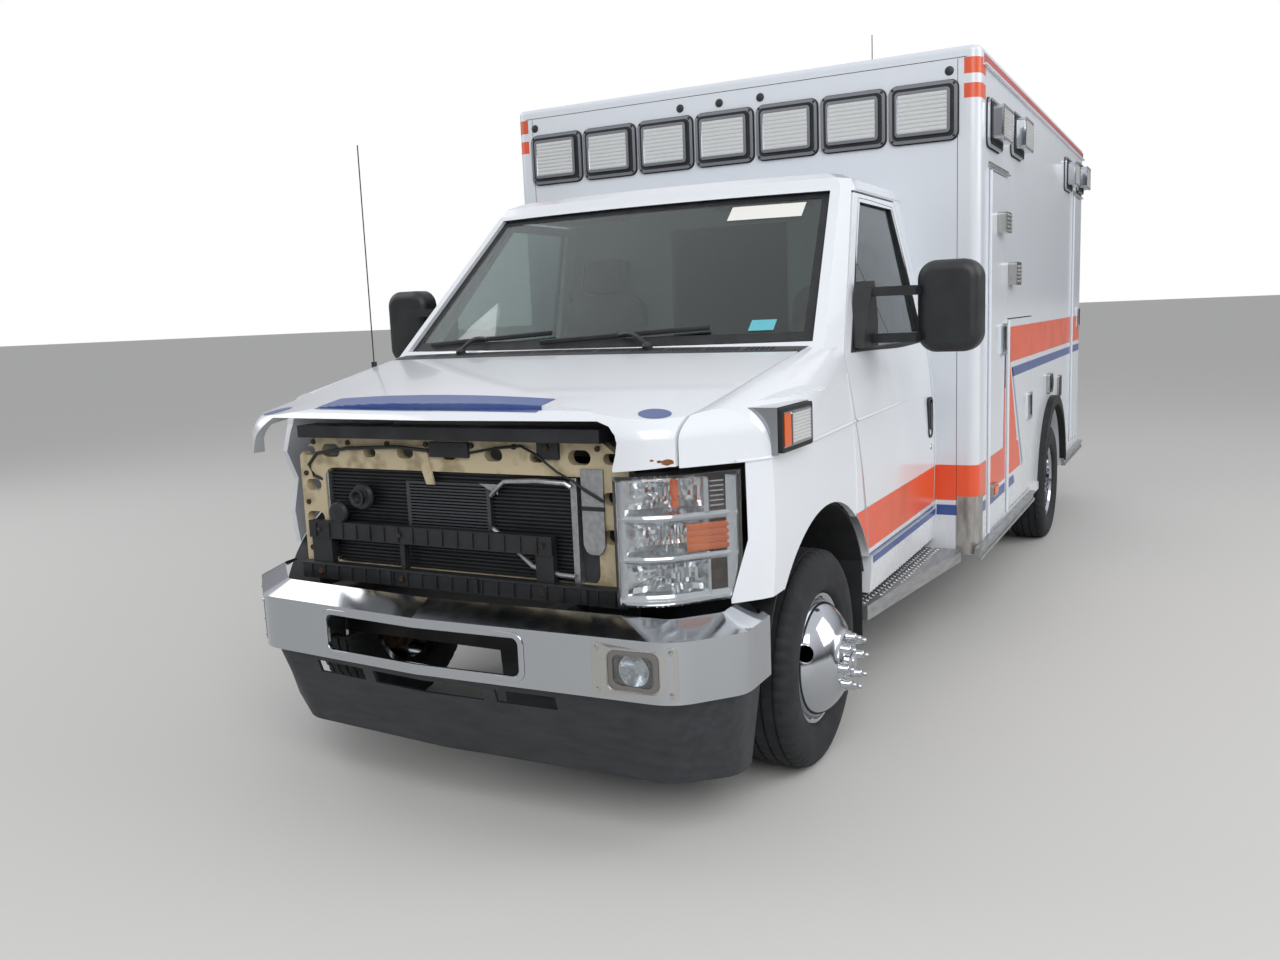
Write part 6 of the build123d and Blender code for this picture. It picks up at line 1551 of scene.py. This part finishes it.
class AMBULANCE_OT_steps_trim(bpy.types.Operator):
    """Adds the grip holes of the cab steps and the treads of the rear step"""
    bl_idname = "ambulance.steps_trim"
    bl_label = "Step treads"

    def execute(self, context):
        m = MATERIALS
        cups, treads, holes = (bmesh.new() for _ in range(3))
        front, rear = 482, 1550  # of the cab step, which widens from 1002 to 1130 mm towards its rear
        for side in (1, -1):
            for row in range(5):
                x = 925 + row * 26
                for place in range(26):
                    station = 520 + place * 40
                    if x < 1002 + 128 * (station - front) / (rear - front) - 16:
                        middle = mm(side * x, station + (20 if row % 2 else 0), 430.0)
                        add_lathe(cups, middle, -DOWN, [(0.1, 9.5), (2.2, 8.6), (2.2, 6.4), (0.1, 5.8)], 14)
                        add_lathe(holes, middle, -DOWN, [(0.15, 5.8), (0.25, 5.6), (0.25, 0.0)], 12, False)
        for x in range(-1050, 1060, 70):
            for row in range(3):
                middle = mm(x + (35 if row % 2 else 0) * (x < 1000), BODY_REAR + 48 + row * 50, 520.0)
                add_lathe(treads, middle, -DOWN, [(0.1, 11), (2.4, 9.5), (2.4, 6.5), (0.1, 5.5)], 14)
        make_piece(cups, "cab_step_grips", m.aluminium)
        make_piece(treads, "rear_step_grips", m.aluminium)
        make_piece(holes, "cab_step_holes", m.rubber)
        return {"FINISHED"}


class AMBULANCE_PT_panel(bpy.types.Panel):
    bl_idname = "AMBULANCE_PT_panel"
    bl_label = "Ambulance"
    bl_space_type = "VIEW_3D"
    bl_region_type = "UI"
    bl_category = "Ambulance"

    def draw(self, context):
        colours, sizes = settings()
        for group in (colours, sizes):
            for name in group.bl_rna.properties.keys():
                if name not in ("rna_type", "name"):
                    self.layout.prop(group, name)
        for operator in OPERATORS:
            self.layout.operator(operator.bl_idname)


GROUPS = (AmbulanceColours, AmbulanceSizes)
OPERATORS = (AMBULANCE_OT_stage, AMBULANCE_OT_finishes, AMBULANCE_OT_bands, AMBULANCE_OT_warning_lamps,
             AMBULANCE_OT_body_trim, AMBULANCE_OT_cab_trim, AMBULANCE_OT_hood_marks, AMBULANCE_OT_headlamp,
             AMBULANCE_OT_front_core, AMBULANCE_OT_wheels, AMBULANCE_OT_cab_inside, AMBULANCE_OT_steps_trim)


def register():
    for kind in GROUPS + OPERATORS + (AMBULANCE_PT_panel,):
        bpy.utils.register_class(kind)
    bpy.types.Scene.ambulance_colours = PointerProperty(type=AmbulanceColours)
    bpy.types.Scene.ambulance_sizes = PointerProperty(type=AmbulanceSizes)


def unregister():
    del bpy.types.Scene.ambulance_colours
    del bpy.types.Scene.ambulance_sizes
    for kind in reversed(GROUPS + OPERATORS + (AMBULANCE_PT_panel,)):
        bpy.utils.unregister_class(kind)


def main():
    register()
    ambulance = bpy.ops.ambulance
    for step in (ambulance.stage, ambulance.finishes, ambulance.bands, ambulance.warning_lamps,
                 ambulance.body_trim, ambulance.cab_trim, ambulance.hood_marks, ambulance.headlamp,
                 ambulance.front_core, ambulance.wheels, ambulance.cab_inside, ambulance.steps_trim):
        step()


if __name__ == "__main__":
    main()
